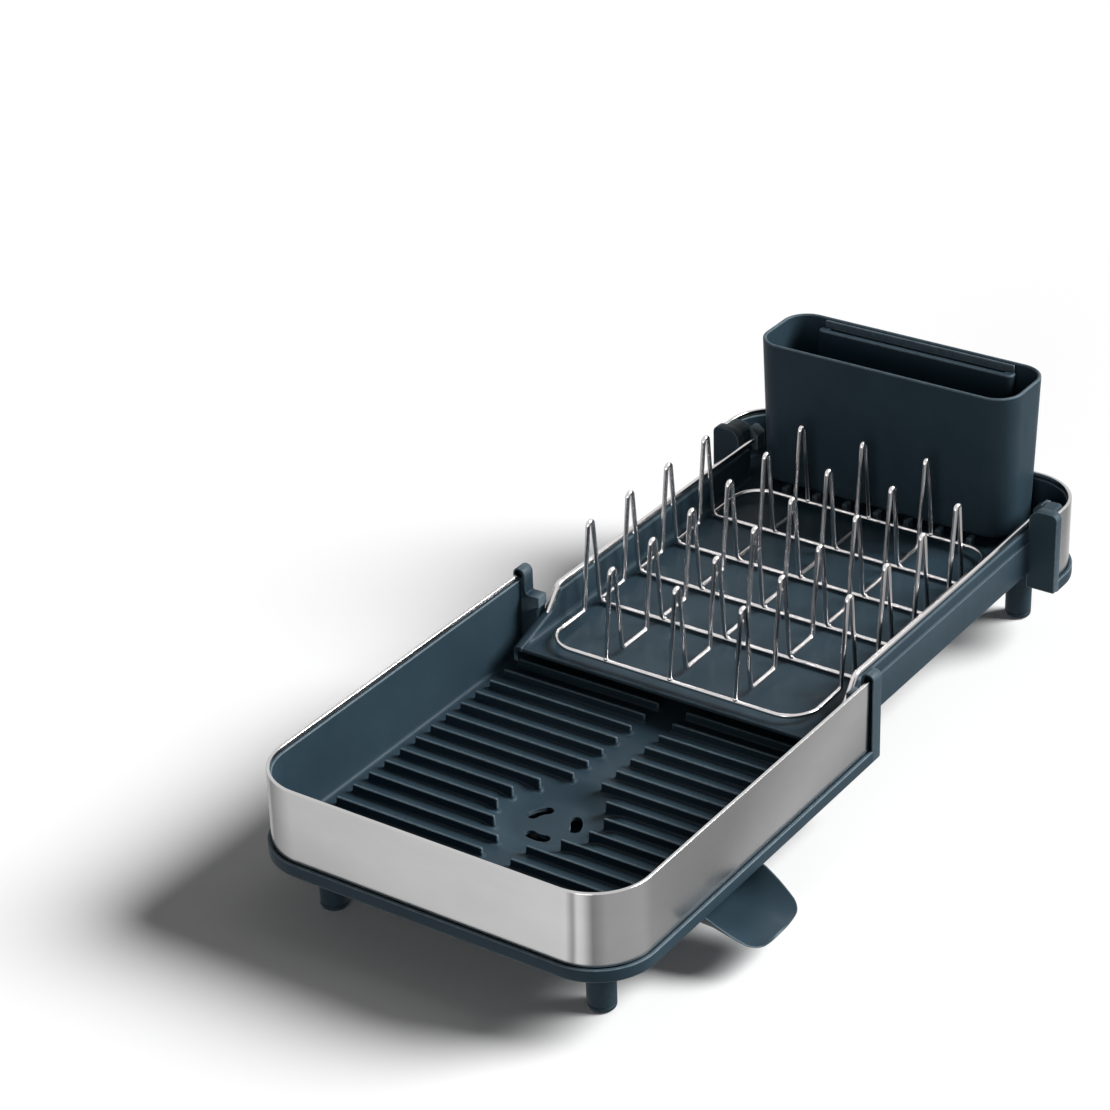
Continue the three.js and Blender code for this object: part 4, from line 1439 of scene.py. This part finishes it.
    def build(self) -> None:
        """Makes the extension's pieces."""
        for name, shape in (("extension_sides", self.sides()), ("extension_deck", self.deck()),
                            ("extension_well", self.well()), ("extension_studs", self.studs())):
            self.layout.piece(name, shape, Body.EXTENSION, Slot.PLASTIC, ("rear_tray",))
        for side in Side:
            name = f"{side.word}_rail"
            self.layout.piece(f"{name}_wire", self.rail(side), Body.EXTENSION, Slot.CHROME, (name,))


@dataclass
class Feet:
    """Six push-on feet with a soft sole, set off by a fine groove."""

    layout: Layout
    top: float = 39.7
    bore: float = 5.3
    bore_top: float = 29.7

    def profile(self) -> Points:
        """Half section: round sole, groove, slightly tapered shank and the bore over its peg.

        Returns:
            Points of (radius, z).
        """
        r = FOOT_RADIUS
        corners = [
            [0.01, 0.9], [r - 3.4, 0.9], [r - 3, 0], [r - 0.3, 0], [r - 0.1, 3.2], [r - 0.6, 3.5], [r - 0.6, 3.9],
            [r - 0.1, 4.2], [r, self.top], [self.bore, self.top], [self.bore, self.bore_top], [0.01, self.bore_top],
        ]
        return bend(corners, [0, 0.3, 0.3, 1.9, 0.15, 0.1, 0.1, 0.15, 0.6, 0.3, 0.3, 0], 5)

    def build(self) -> None:
        """Makes each foot at its place."""
        for place, (x, y) in FOOT_PLACES.items():
            body = Body.EXTENSION if place == "rear" else Body.FRONT
            for side in Side:
                name = f"{place}_{side.word}"
                self.layout.piece(f"{name}_sole", turned(self.profile(), side.value * x, y, 48), body, Slot.RUBBER,
                                  (f"{name}_foot",))


@dataclass
class DrainSpout:
    """The swivelling spout: a scoop that leads from a cup under the drain, on a hub with a snap pin."""

    layout: Layout
    y: float = 122.5
    reach: float = 152.4
    shoulder: float = 115
    half_width: float = 31
    tip_half: float = 23.7
    tip_round: float = 7
    wall: float = 2.2
    low: float = 27.0
    tip_low: float = 16.4
    rim_top: float = 36.6
    tip_rim: float = 20.6
    rim_slope: float = 0.55
    bowl: float = 3
    taper: float = 2.4
    cup_in: float = 22.8
    cup_top: float = 34.3
    hub: Pair = (3.3, 7.5)
    hub_top: float = 31.6
    pin_head: float = 6.2
    pin_stem: float = 3
    pin_top: float = 35.1

    def scoop(self) -> Shape:
        """Curved sheet over (distance, share across), as thick as its distance from the edge allows.

        Half the width grows evenly to the shoulder, then narrows by a power of the way to the tip, whose corners are
        round. Across, the height goes from the middle line to the rim by the cube of the share. Within r of an edge
        the sheet thins from both faces by the root of 1 - (1 - distance / r) squared, so that the edge is a half round.

        Returns:
            The scoop.
        """
        start = self.cup_in * math.sqrt(0.5)
        corner = self.reach - self.tip_round
        turn = np.linspace(0, QUARTER_TURN, 14)[1:]
        x = np.concatenate([np.linspace(start, corner, 46), corner + self.tip_round * np.sin(turn)])
        past = np.maximum(0, (x - self.shoulder) / (self.reach - self.shoulder))
        before = np.maximum(0, 1 - x / self.shoulder)
        rounding = np.clip(1 - (self.reach - x) / self.tip_round, 0, 1)
        half = (self.half_width - (self.half_width - self.cup_in - 2) * before
                - (self.half_width - self.tip_half) * past**self.taper
                - self.tip_round * (1 - chord(1, rounding)))
        rim = np.minimum(self.rim_top, self.tip_rim + (self.reach - x) * self.rim_slope)
        middle = self.low + (self.tip_low - self.low) * x / self.reach + self.wall
        v = np.sin(np.linspace(-QUARTER_TURN, QUARTER_TURN, 61))[None]
        lift = middle[:, None] + (rim - middle)[:, None] * np.abs(v) ** self.bowl
        top = zipped(x[:, None], self.y + half[:, None] * v, lift)
        normal = unit(np.cross(np.gradient(top, axis=0), np.gradient(top, axis=1)) * np.array([0, 1, 1]))
        to_tip = np.clip((self.reach - x) / 12, 0, 1)[:, None]
        full = (self.wall - 0.4 * (1 - to_tip)) - 1.1 * np.abs(v) ** 4
        from_edge = np.minimum(half[:, None] * (1 - np.abs(v)), (self.reach - x)[:, None])
        share = chord(1, np.maximum(1 - 2 * from_edge / full, 0))
        bottom = top - normal * (full / 2 * (1 + share))[..., None]
        top = top - normal * (full / 2 * (1 - share))[..., None]
        made = from_grid(np.concatenate([top, bottom[:, ::-1]], 1), False, True)
        made.faces.append(np.arange(2 * v.shape[1])[None, ::-1])
        return made

    def cup(self) -> Shape:
        """Round cup under the drain, open towards the scoop, and its hub.

        Returns:
            The cup and the hub.
        """
        inner, outer, top, floor = self.cup_in, self.cup_in + 2, self.cup_top, self.low + self.wall
        angle = np.linspace(math.radians(45), math.radians(315), 60)
        profile = bend([[inner, self.low + 0.3], [outer, self.low + 0.3], [outer, top], [inner, top]],
                       [0.1, 1.2, 0.7, 0.7], 4, closed=True)
        r, z = profile[:, :1], profile[:, 1:]
        side = zipped(r * np.cos(angle), self.y + r * np.sin(angle), z)
        bore, hub = self.hub
        base = bend([[bore, self.low], [outer, self.low], [outer, floor], [hub, floor], [hub, self.hub_top],
                     [bore, self.hub_top]], [0.2, 1, 0.8, 1, 0.6, 0.3], 4, closed=True)
        return Shape.joined(bar(side), turned(np.vstack([base, base[:1]]), 0, self.y, 72))

    def pin(self) -> Shape:
        """Snap pin: a domed head below the hub and its stem.

        Returns:
            The pin.
        """
        low, head, stem, top = self.low - 0.3, self.pin_head, self.pin_stem, self.pin_top
        profile = bend([[0.01, low - 2], [head, low - 2], [head, low], [stem, low], [stem, top], [0.01, top]],
                       [0, 1.4, 0.2, 0.1, 0.6, 0], 5)
        return turned(profile, 0, self.y, 36)

    def build(self) -> None:
        """Makes the spout and its pin."""
        for name, shape, body, node, sharp_deg in (
            ("spout_scoop", self.scoop(), Body.SPOUT, "drain_spout", 50),
            ("spout_cup", self.cup(), Body.SPOUT, "drain_spout", 38),
            ("spout_pin_head", self.pin(), Body.FRONT, "spout_pin", 38),
        ):
            self.layout.piece(name, shape, body, Slot.PLASTIC, (node,), sharp_deg)


@dataclass
class PlateRack:
    """Wire rack: zigzag rows over cross rods, bent end wires, and the welds that join them."""

    layout: Layout
    radius: float = 1.5
    near: float = 250.8
    pitch: float = 44.9
    half_base: float = 8.85
    height: float = 60.2
    tip: float = 2.6
    heel: float = 2.6
    row_pitch: float = 45.7
    tines: int = 6
    corner: float = 20
    rod_z: float = 64.6
    row_z: float = 67.9
    bead: Pair = (1.7, 1.3)

    def middle(self, k: Points) -> Points:
        """Middle of tine k along y."""
        return self.near + self.half_base + k * self.pitch

    @property
    def far(self) -> float:
        """Place of the far end wire."""
        return float(self.middle(self.tines - 1) + self.half_base)

    def apex(self) -> float:
        """Height at which a tine's straight legs would meet above its bend.

        Returns:
            The height.
        """
        rise = self.height - self.radius - self.tip
        lean = math.atan2(rise, self.half_base) + math.asin(self.tip / math.hypot(rise, self.half_base))
        return self.row_z + self.half_base * math.tan(lean)

    def zigzag(self, x: float, first: int, last: int, ends: Pair | None) -> Shape:
        """Row wire: each tine's two feet and its apex are corners, with level runs between the tines.

        Args:
            x: The row's place.
            first: Its first tine.
            last: Its last tine.
            ends: Where its level ends lie, or None where the outer feet stand on the end wires.

        Returns:
            The wire.
        """
        k = np.arange(first, last + 1)
        y = self.middle(k)[:, None] + np.array([-self.half_base, 0, self.half_base])
        z = np.tile([self.row_z, self.apex(), self.row_z], (len(k), 1))
        radii = np.tile([self.heel, self.tip, self.heel], (len(k), 1)).ravel()
        if ends is None:
            z[0, 0] = z[-1, 2] = self.row_z + 2 * self.radius
        path = zipped(x, y.ravel(), z.ravel())
        if ends is not None:
            path = np.vstack([[x, ends[0], self.row_z], path, [x, ends[1], self.row_z]])
            radii = np.concatenate([[0], radii, [0]])
        return tube(bend(path, radii, 12), self.radius, ACROSS)

    def end_wire(self, y: float, inward: int) -> Shape:
        """End wire, bent round both corners.

        Args:
            y: The wire's place.
            inward: Sign of y from the wire into the rack.

        Returns:
            The wire.
        """
        x, back = 2 * self.row_pitch, y + inward * self.corner
        corners = [[-x, back, self.row_z], [-x, y, self.row_z], [x, y, self.row_z], [x, back, self.row_z]]
        return tube(bend(corners, self.corner - 0.3, 20), self.radius, UP)

    def rod(self, k: int) -> Shape:
        """Cross rod under the rows, past the far feet of tine k."""
        y, half = float(self.middle(k) + self.half_base + self.heel), 2 * self.row_pitch + self.radius
        return tube(zipped(np.linspace(-half, half, 9), y, self.rod_z), self.radius, UP)

    def welds(self) -> Shape:
        """Squashed beads where wires cross: the rows over the rods, and the three inner rows over the end wires.

        Returns:
            The beads.
        """
        r, half = self.bead
        bead = bend([[0.01, -half], [r, -half], [r, half], [0.01, half]], [0, 1.2, 1.2, 0], 5)
        k = np.arange(1, self.tines - 1)
        rods = self.middle(k) + self.half_base + self.heel
        spots = [(x * self.row_pitch, y, (self.rod_z + self.row_z) / 2) for x in range(-2, 3) for y in rods]
        spots += [(x * self.row_pitch, y, self.row_z + self.radius) for x in (-1, 0, 1) for y in (self.near, self.far)]
        one = turned(bead, 0, 0, 14)
        return Shape.joined(*[one.moved(*s) for s in spots])

    def build(self) -> None:
        """Makes every wire under its own name."""
        span = (self.near + self.corner + 0.1, self.far - self.corner - 0.1)
        wires = {
            **{f"row_{word}": self.zigzag(k * self.row_pitch, 0, self.tines - 1, None)
               for k, word in ((-1, "left"), (0, "centre"), (1, "right"))},
            **{f"side_{s.word}": self.zigzag(2 * s.value * self.row_pitch, 1, self.tines - 2, span) for s in Side},
            "end_near": self.end_wire(self.near, 1), "end_far": self.end_wire(self.far, -1),
            **{f"rod_{k}": self.rod(k) for k in range(1, self.tines - 1)},
        }
        for name, shape in wires.items():
            self.layout.piece(f"rack_{name}_wire", shape, Body.RACK, Slot.CHROME, (f"rack_{name}",), sharp_deg=80)
        self.layout.piece("rack_welds", self.welds(), Body.RACK, Slot.CHROME, sharp_deg=80)


@dataclass
class CutleryHolder:
    """Tapered cup with a round rim, and the narrow knife insert at its back."""

    layout: Layout
    y: float = 530.2
    low: float = 69.1
    high: float = 170.7
    bottom: Pair = (92.0, 24.6)
    top: Pair = (93.4, 29.0)
    corner: float = 18
    wall: float = 2.4
    drains: int = 5
    drain_pitch: float = 27
    drain_size: Pair = (22, 4.6)
    drain_y: float = 519.5
    floor_half: Pair = (85, 18)
    floor_corner: float = 12
    insert_gap: float = 0.3
    insert_half: float = 71.3
    insert_depth: float = 9.3
    insert_corner: float = 4
    insert_top: float = 165.3
    slot_half: float = 64.6
    slot: Pair = (2.2, 5.6)
    well: Pair = (2.2, 7.3)
    slot_low: float = 162.3
    slot_corner: float = 1.4
    insert_floor: float = 4
    plate_half: float = 69.3
    plate: Pair = (0.15, 1.9)
    plate_low: float = 160
    plate_top: float = 169.7
    crown: float = 0.8

    def half(self, z: Points) -> tuple[Points, Points]:
        """Half width and half depth of the outer face, even from bottom to top."""
        s = (z - self.low) / (self.high - self.low)
        return tuple(low + (high - low) * s for low, high in zip(self.bottom, self.top))

    def shell(self) -> Shape:
        """Wall as levels of one closed profile: under, up the outside, round the rim and down the inside.

        Returns:
            The wall.
        """
        w, facets, flange = self.wall, 9, 9
        profile = bend([[flange, self.low], [0, self.low], [0, self.high], [w, self.high], [w, self.low + w],
                        [flange, self.low + w]], [0, 3.2, 1.15, 1.15, 2.6, 0], facets)
        up = facets + 2
        extra = np.linspace(profile[up - 1], profile[up], 30)[1:-1]
        profile = np.vstack([profile[:up], extra, profile[up:]])
        inset, z = profile[:, 0], profile[:, 1]
        x, y = self.half(z)
        loop = rounded_rectangle(x - inset, y - inset, np.maximum(self.corner - inset, 0.5), 14)
        return from_grid(lifted(loop + [0, self.y], z), True, True)

    def drained_floor(self) -> Shape:
        """Floor plate whose grid lines bow round the drain slots.

        A slot's end lies from its middle by half its straight part plus the root of its end's radius squared less
        the distance from its centre line squared. Past the slots the lines spread to the plate's round outline.

        Returns:
            The floor.
        """
        radius = self.drain_size[1] / 2
        straight = self.drain_size[0] / 2 - radius
        in_slot = self.drain_y - radius * np.cos(np.linspace(0, HALF_TURN, 11))
        (wide, deep), r = self.floor_half, self.floor_corner
        before, aside, per_slot = 6, 5, 7
        y = np.concatenate([np.linspace(self.y - deep, self.drain_y - radius, before + 1)[:-1], in_slot,
                            np.linspace(self.drain_y + radius, self.y + deep, 14)[1:]])
        end = straight + chord(radius, y - self.drain_y)
        past = np.maximum(np.abs(y - self.y) - (deep - r), 0)
        edge = wide - r + chord(r, past)
        middle = (np.arange(self.drains) - (self.drains - 1) / 2) * self.drain_pitch
        share = np.linspace(-1, 1, per_slot)
        lines = (middle[None, :, None] + end[:, None, None] * share).reshape(len(y), -1)
        outer = lines[:, -1:] + (edge[:, None] - lines[:, -1:]) * np.linspace(0, 1, aside + 1)[1:]
        x = np.concatenate([-outer[:, ::-1], lines, outer], 1)
        column = np.arange(x.shape[1] - 1) - aside
        open_column = (column >= 0) & (column < per_slot * self.drains - 1) & (column % per_slot < per_slot - 1)
        keep = np.ones((len(y) - 1, len(column)), bool)
        keep[before:before + len(in_slot) - 1] = ~open_column[None]
        top = zipped(x, y[:, None], self.low + self.wall - 0.03)
        return slab(top, top - (self.wall - 0.06) * UP, keep, False)

    def against_back(self, levels: Points) -> Shape:
        """Rounded rectangles at levels of (half width, nearest, farthest, radius, z), measured from the back wall.

        Args:
            levels: The levels, one row each.

        Returns:
            The closed shape.
        """
        half, near, far, radius, z = levels.T
        back = self.y + self.half(z)[1] - self.wall - self.insert_gap
        loop = rounded_rectangle(half, (far - near) / 2, np.minimum(radius, (far - near) / 2 - 0.02), 8)
        plan = loop + np.stack([np.zeros_like(z), back - (near + far) / 2], -1)[:, None]
        return skin(lifted(plan, z))

    def insert(self) -> Shape:
        """Insert with a round rim and a slot over its wider well, and the plate that stands behind the slot.

        Returns:
            The insert.
        """
        low, (aside, along) = self.low + self.wall + self.insert_gap, quarter_round(7)
        under, rim, lip = 1.6, 1.2, 0.5
        width, depth, corner = self.insert_half, self.insert_depth, self.insert_corner
        inset = np.concatenate([under * aside, rim * along])
        z = np.concatenate([low + under * along, self.insert_top - rim * aside])
        outer = np.stack([width - inset, inset, depth - inset, corner - inset, z], -1)
        grow, (near, far) = lip * aside, self.slot
        r = self.slot_corner
        mouth = zipped(self.slot_half + grow, near - grow, far + grow, r + grow, self.insert_top - lip * along)
        inside = [[self.slot_half, *self.slot, r, self.slot_low], [self.slot_half, *self.well, r, self.slot_low],
                  [self.slot_half, *self.well, r, low + self.insert_floor]]
        cup = self.against_back(np.vstack([outer, mouth, inside]))
        crown, half, (near, far) = self.crown * along, self.plate_half, self.plate
        plate = zipped(half - crown, near + crown, far - crown, 0.5, self.plate_top - self.crown * aside)
        return Shape.joined(cup, self.against_back(np.vstack([[half, near, far, 0.5, self.plate_low], plate])))

    def build(self) -> None:
        """Makes the holder and its insert."""
        for name, shape, body, node in (
            ("holder_cup", self.shell(), Body.HOLDER, "holder_shell"),
            ("holder_floor", self.drained_floor(), Body.HOLDER, "holder_shell"),
            ("knife_insert_cup", self.insert(), Body.KNIVES, "knife_insert"),
        ):
            self.layout.piece(name, shape, body, Slot.PLASTIC, (node,))


# Studio


@dataclass
class Studio:
    """Pale floor, a soft key, a weak lamp from the front, an even sky and the camera at the photograph's angle.

    Angles are in degrees. Only reflections see the painted reflection tones: to glossy rays the floor glows in grey
    tones, each at its azimuth round the front module.
    """

    layout: Layout
    lens: float = 105.73
    sensor: float = 36
    clip: Pair = (0.05, 50)
    eye: Triple = (907.6, -1161.3, 1065.3)
    right: Triple = (0.8276, 0.5607, -0.0282)
    ahead: Triple = (-0.5042, 0.7202, -0.4765)
    key_from: Pair = (38, 38)
    key_angle: float = 30
    key_strength: float = 5.2
    front_from: Pair = (-75, 9)
    front_angle: float = 30
    front_strength: float = 0.75
    fill: float = 0.07
    shine: float = 0.9
    paper: float = 0.42
    paper_seen: float = 0.9
    floor_half: float = 6.0
    floor_drop: float = 0.0002
    # painted reflection: (azimuth, tone) of the glow that glossy rays see in the floor, about this point
    painted_reflections_about: Pair = (89, 36)
    painted_reflection_tones: tuple[Pair, ...] = (
        (-180, 0.28), (-152, 0.78), (-104, 0.95), (-92, 0.4), (-85, 1.0), (-76, 0.85), (-62, 0.28), (-40, 0.48),
        (20, 0.5), (60, 0.3), (72, 0.6), (79, 0.33), (92, 0.8), (150, 0.5),
    )

    def camera(self) -> None:
        """Sets the fitted camera: its axes are right, up and back."""
        data = bpy.data.cameras.new("camera")
        data.lens, data.sensor_width, data.sensor_fit = self.lens, self.sensor, "HORIZONTAL"
        data.clip_start, data.clip_end = self.clip
        eye = shown("camera", data)
        x = np.array(self.right)
        z = -np.array(self.ahead) / np.linalg.norm(self.ahead)
        x = unit(x - z * (x @ z))
        stand(eye, x, np.cross(z, x), z, self.layout.world(np.array(self.eye)))
        bpy.context.scene.camera = eye

    def floor(self) -> None:
        """Large pale floor, white to the camera. To glossy rays it glows in grey tones set by azimuth, a painted
        reflection for the metal.
        """
        mesh = bpy.data.meshes.new("floor")
        corners = self.floor_half * np.array([[-1, -1, 0], [1, -1, 0], [1, 1, 0], [-1, 1, 0]])
        fill_mesh(mesh, corners - self.floor_drop * UP, [np.array([[0, 1, 2, 3]])])
        made = shown("floor", mesh)
        r = Recipe("floor_paper")
        path = r.add("ShaderNodeLightPath")
        glossy = path.outputs["Is Glossy Ray"]
        paper = r.blend(path.outputs["Is Camera Ray"], (self.paper,) * 3, (self.paper_seen,) * 3)
        centred = r.add("ShaderNodeMapping")
        x, y, _ = self.layout.world(np.array([*self.painted_reflections_about, 0.0]))
        centred.inputs["Location"].default_value = (-x, -y, 0)
        r.link(r.place, centred.inputs["Vector"])
        around = r.add("ShaderNodeTexGradient", gradient_type="RADIAL")
        r.link(centred.outputs["Vector"], around.inputs["Vector"])
        ramp = r.add("ShaderNodeValToRGB")
        r.link(around.outputs["Fac"], ramp.inputs["Fac"])
        stops = ramp.color_ramp.elements
        for _ in range(len(self.painted_reflection_tones) - 2):
            stops.new(0.5)
        for stop, (azimuth, tone) in zip(stops, self.painted_reflection_tones):
            stop.position, stop.color = azimuth / 360 + 0.5, (tone, tone, tone * 1.01, 1)
        # painted reflection: glossy rays see the floor black, glowing in the azimuth tones
        r.feed({
            "Base Color": r.blend(glossy, paper, (0, 0, 0)), "Roughness": 0.9, "Specular IOR Level": 0.0,
            "Emission Color": ramp.outputs["Color"], "Emission Strength": glossy,
        })
        mesh.materials.append(r.material)

    def lamp(self, name: str, origin: Pair, spread: float, strength: float) -> None:
        """Adds a broad soft lamp that shines from a direction.

        Args:
            name: The lamp's name.
            origin: Azimuth and height that it shines from.
            spread: How broad it looks from the rack.
            strength: Its strength.
        """
        data = bpy.data.lights.new(name, "SUN")
        data.energy, data.angle = strength, math.radians(spread)
        azimuth, height = (math.radians(v) for v in origin)
        z = np.array([math.cos(height) * math.cos(azimuth), math.cos(height) * math.sin(azimuth), math.sin(height)])
        x = unit(np.cross(UP, z))
        stand(shown(name, data), x, np.cross(z, x), z, np.zeros(3))

    def sky(self) -> None:
        """Even sky: low fill for matte surfaces, pale to metal, white to the camera."""
        world = bpy.data.worlds.new("studio")
        bpy.context.scene.world = world
        world.use_nodes = True
        tree = world.node_tree
        tree.nodes.clear()
        path = tree.nodes.new("ShaderNodeLightPath")
        output = tree.nodes.new("ShaderNodeOutputWorld")
        layers = []
        for strength in (self.fill, self.shine, 1.0):
            layer = tree.nodes.new("ShaderNodeBackground")
            layer.inputs["Color"].default_value = (1, 1, 1, 1)
            layer.inputs["Strength"].default_value = strength
            layers.append(layer.outputs[0])
        for share, upper in (("Is Glossy Ray", layers[1]), ("Is Camera Ray", layers[2])):
            mix = tree.nodes.new("ShaderNodeMixShader")
            tree.links.new(path.outputs[share], mix.inputs[0])
            tree.links.new(layers[0], mix.inputs[1])
            tree.links.new(upper, mix.inputs[2])
            layers[0] = mix.outputs[0]
        tree.links.new(layers[0], output.inputs["Surface"])

    def build(self) -> None:
        """Sets up camera, floor and light."""
        bpy.context.scene.view_settings.view_transform = "Standard"
        self.camera()
        self.floor()
        self.lamp("key", self.key_from, self.key_angle, self.key_strength)
        self.lamp("front_fill", self.front_from, self.front_angle, self.front_strength)
        self.sky()


def main() -> None:
    """Builds the studio and the rack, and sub-assembly by sub-assembly."""
    logging.basicConfig(level=logging.INFO, format="%(message)s")
    layout, plan = Layout(), Horseshoe()
    Studio(layout).build()
    for part in (SteelBands(layout, plan), MouldedWalls(layout, plan), DrainFloor(layout, plan), EndPosts(layout),
                 Extension(layout, plan), Feet(layout), DrainSpout(layout), PlateRack(layout), CutleryHolder(layout)):
        part.build()


if __name__ == "__main__":
    main()
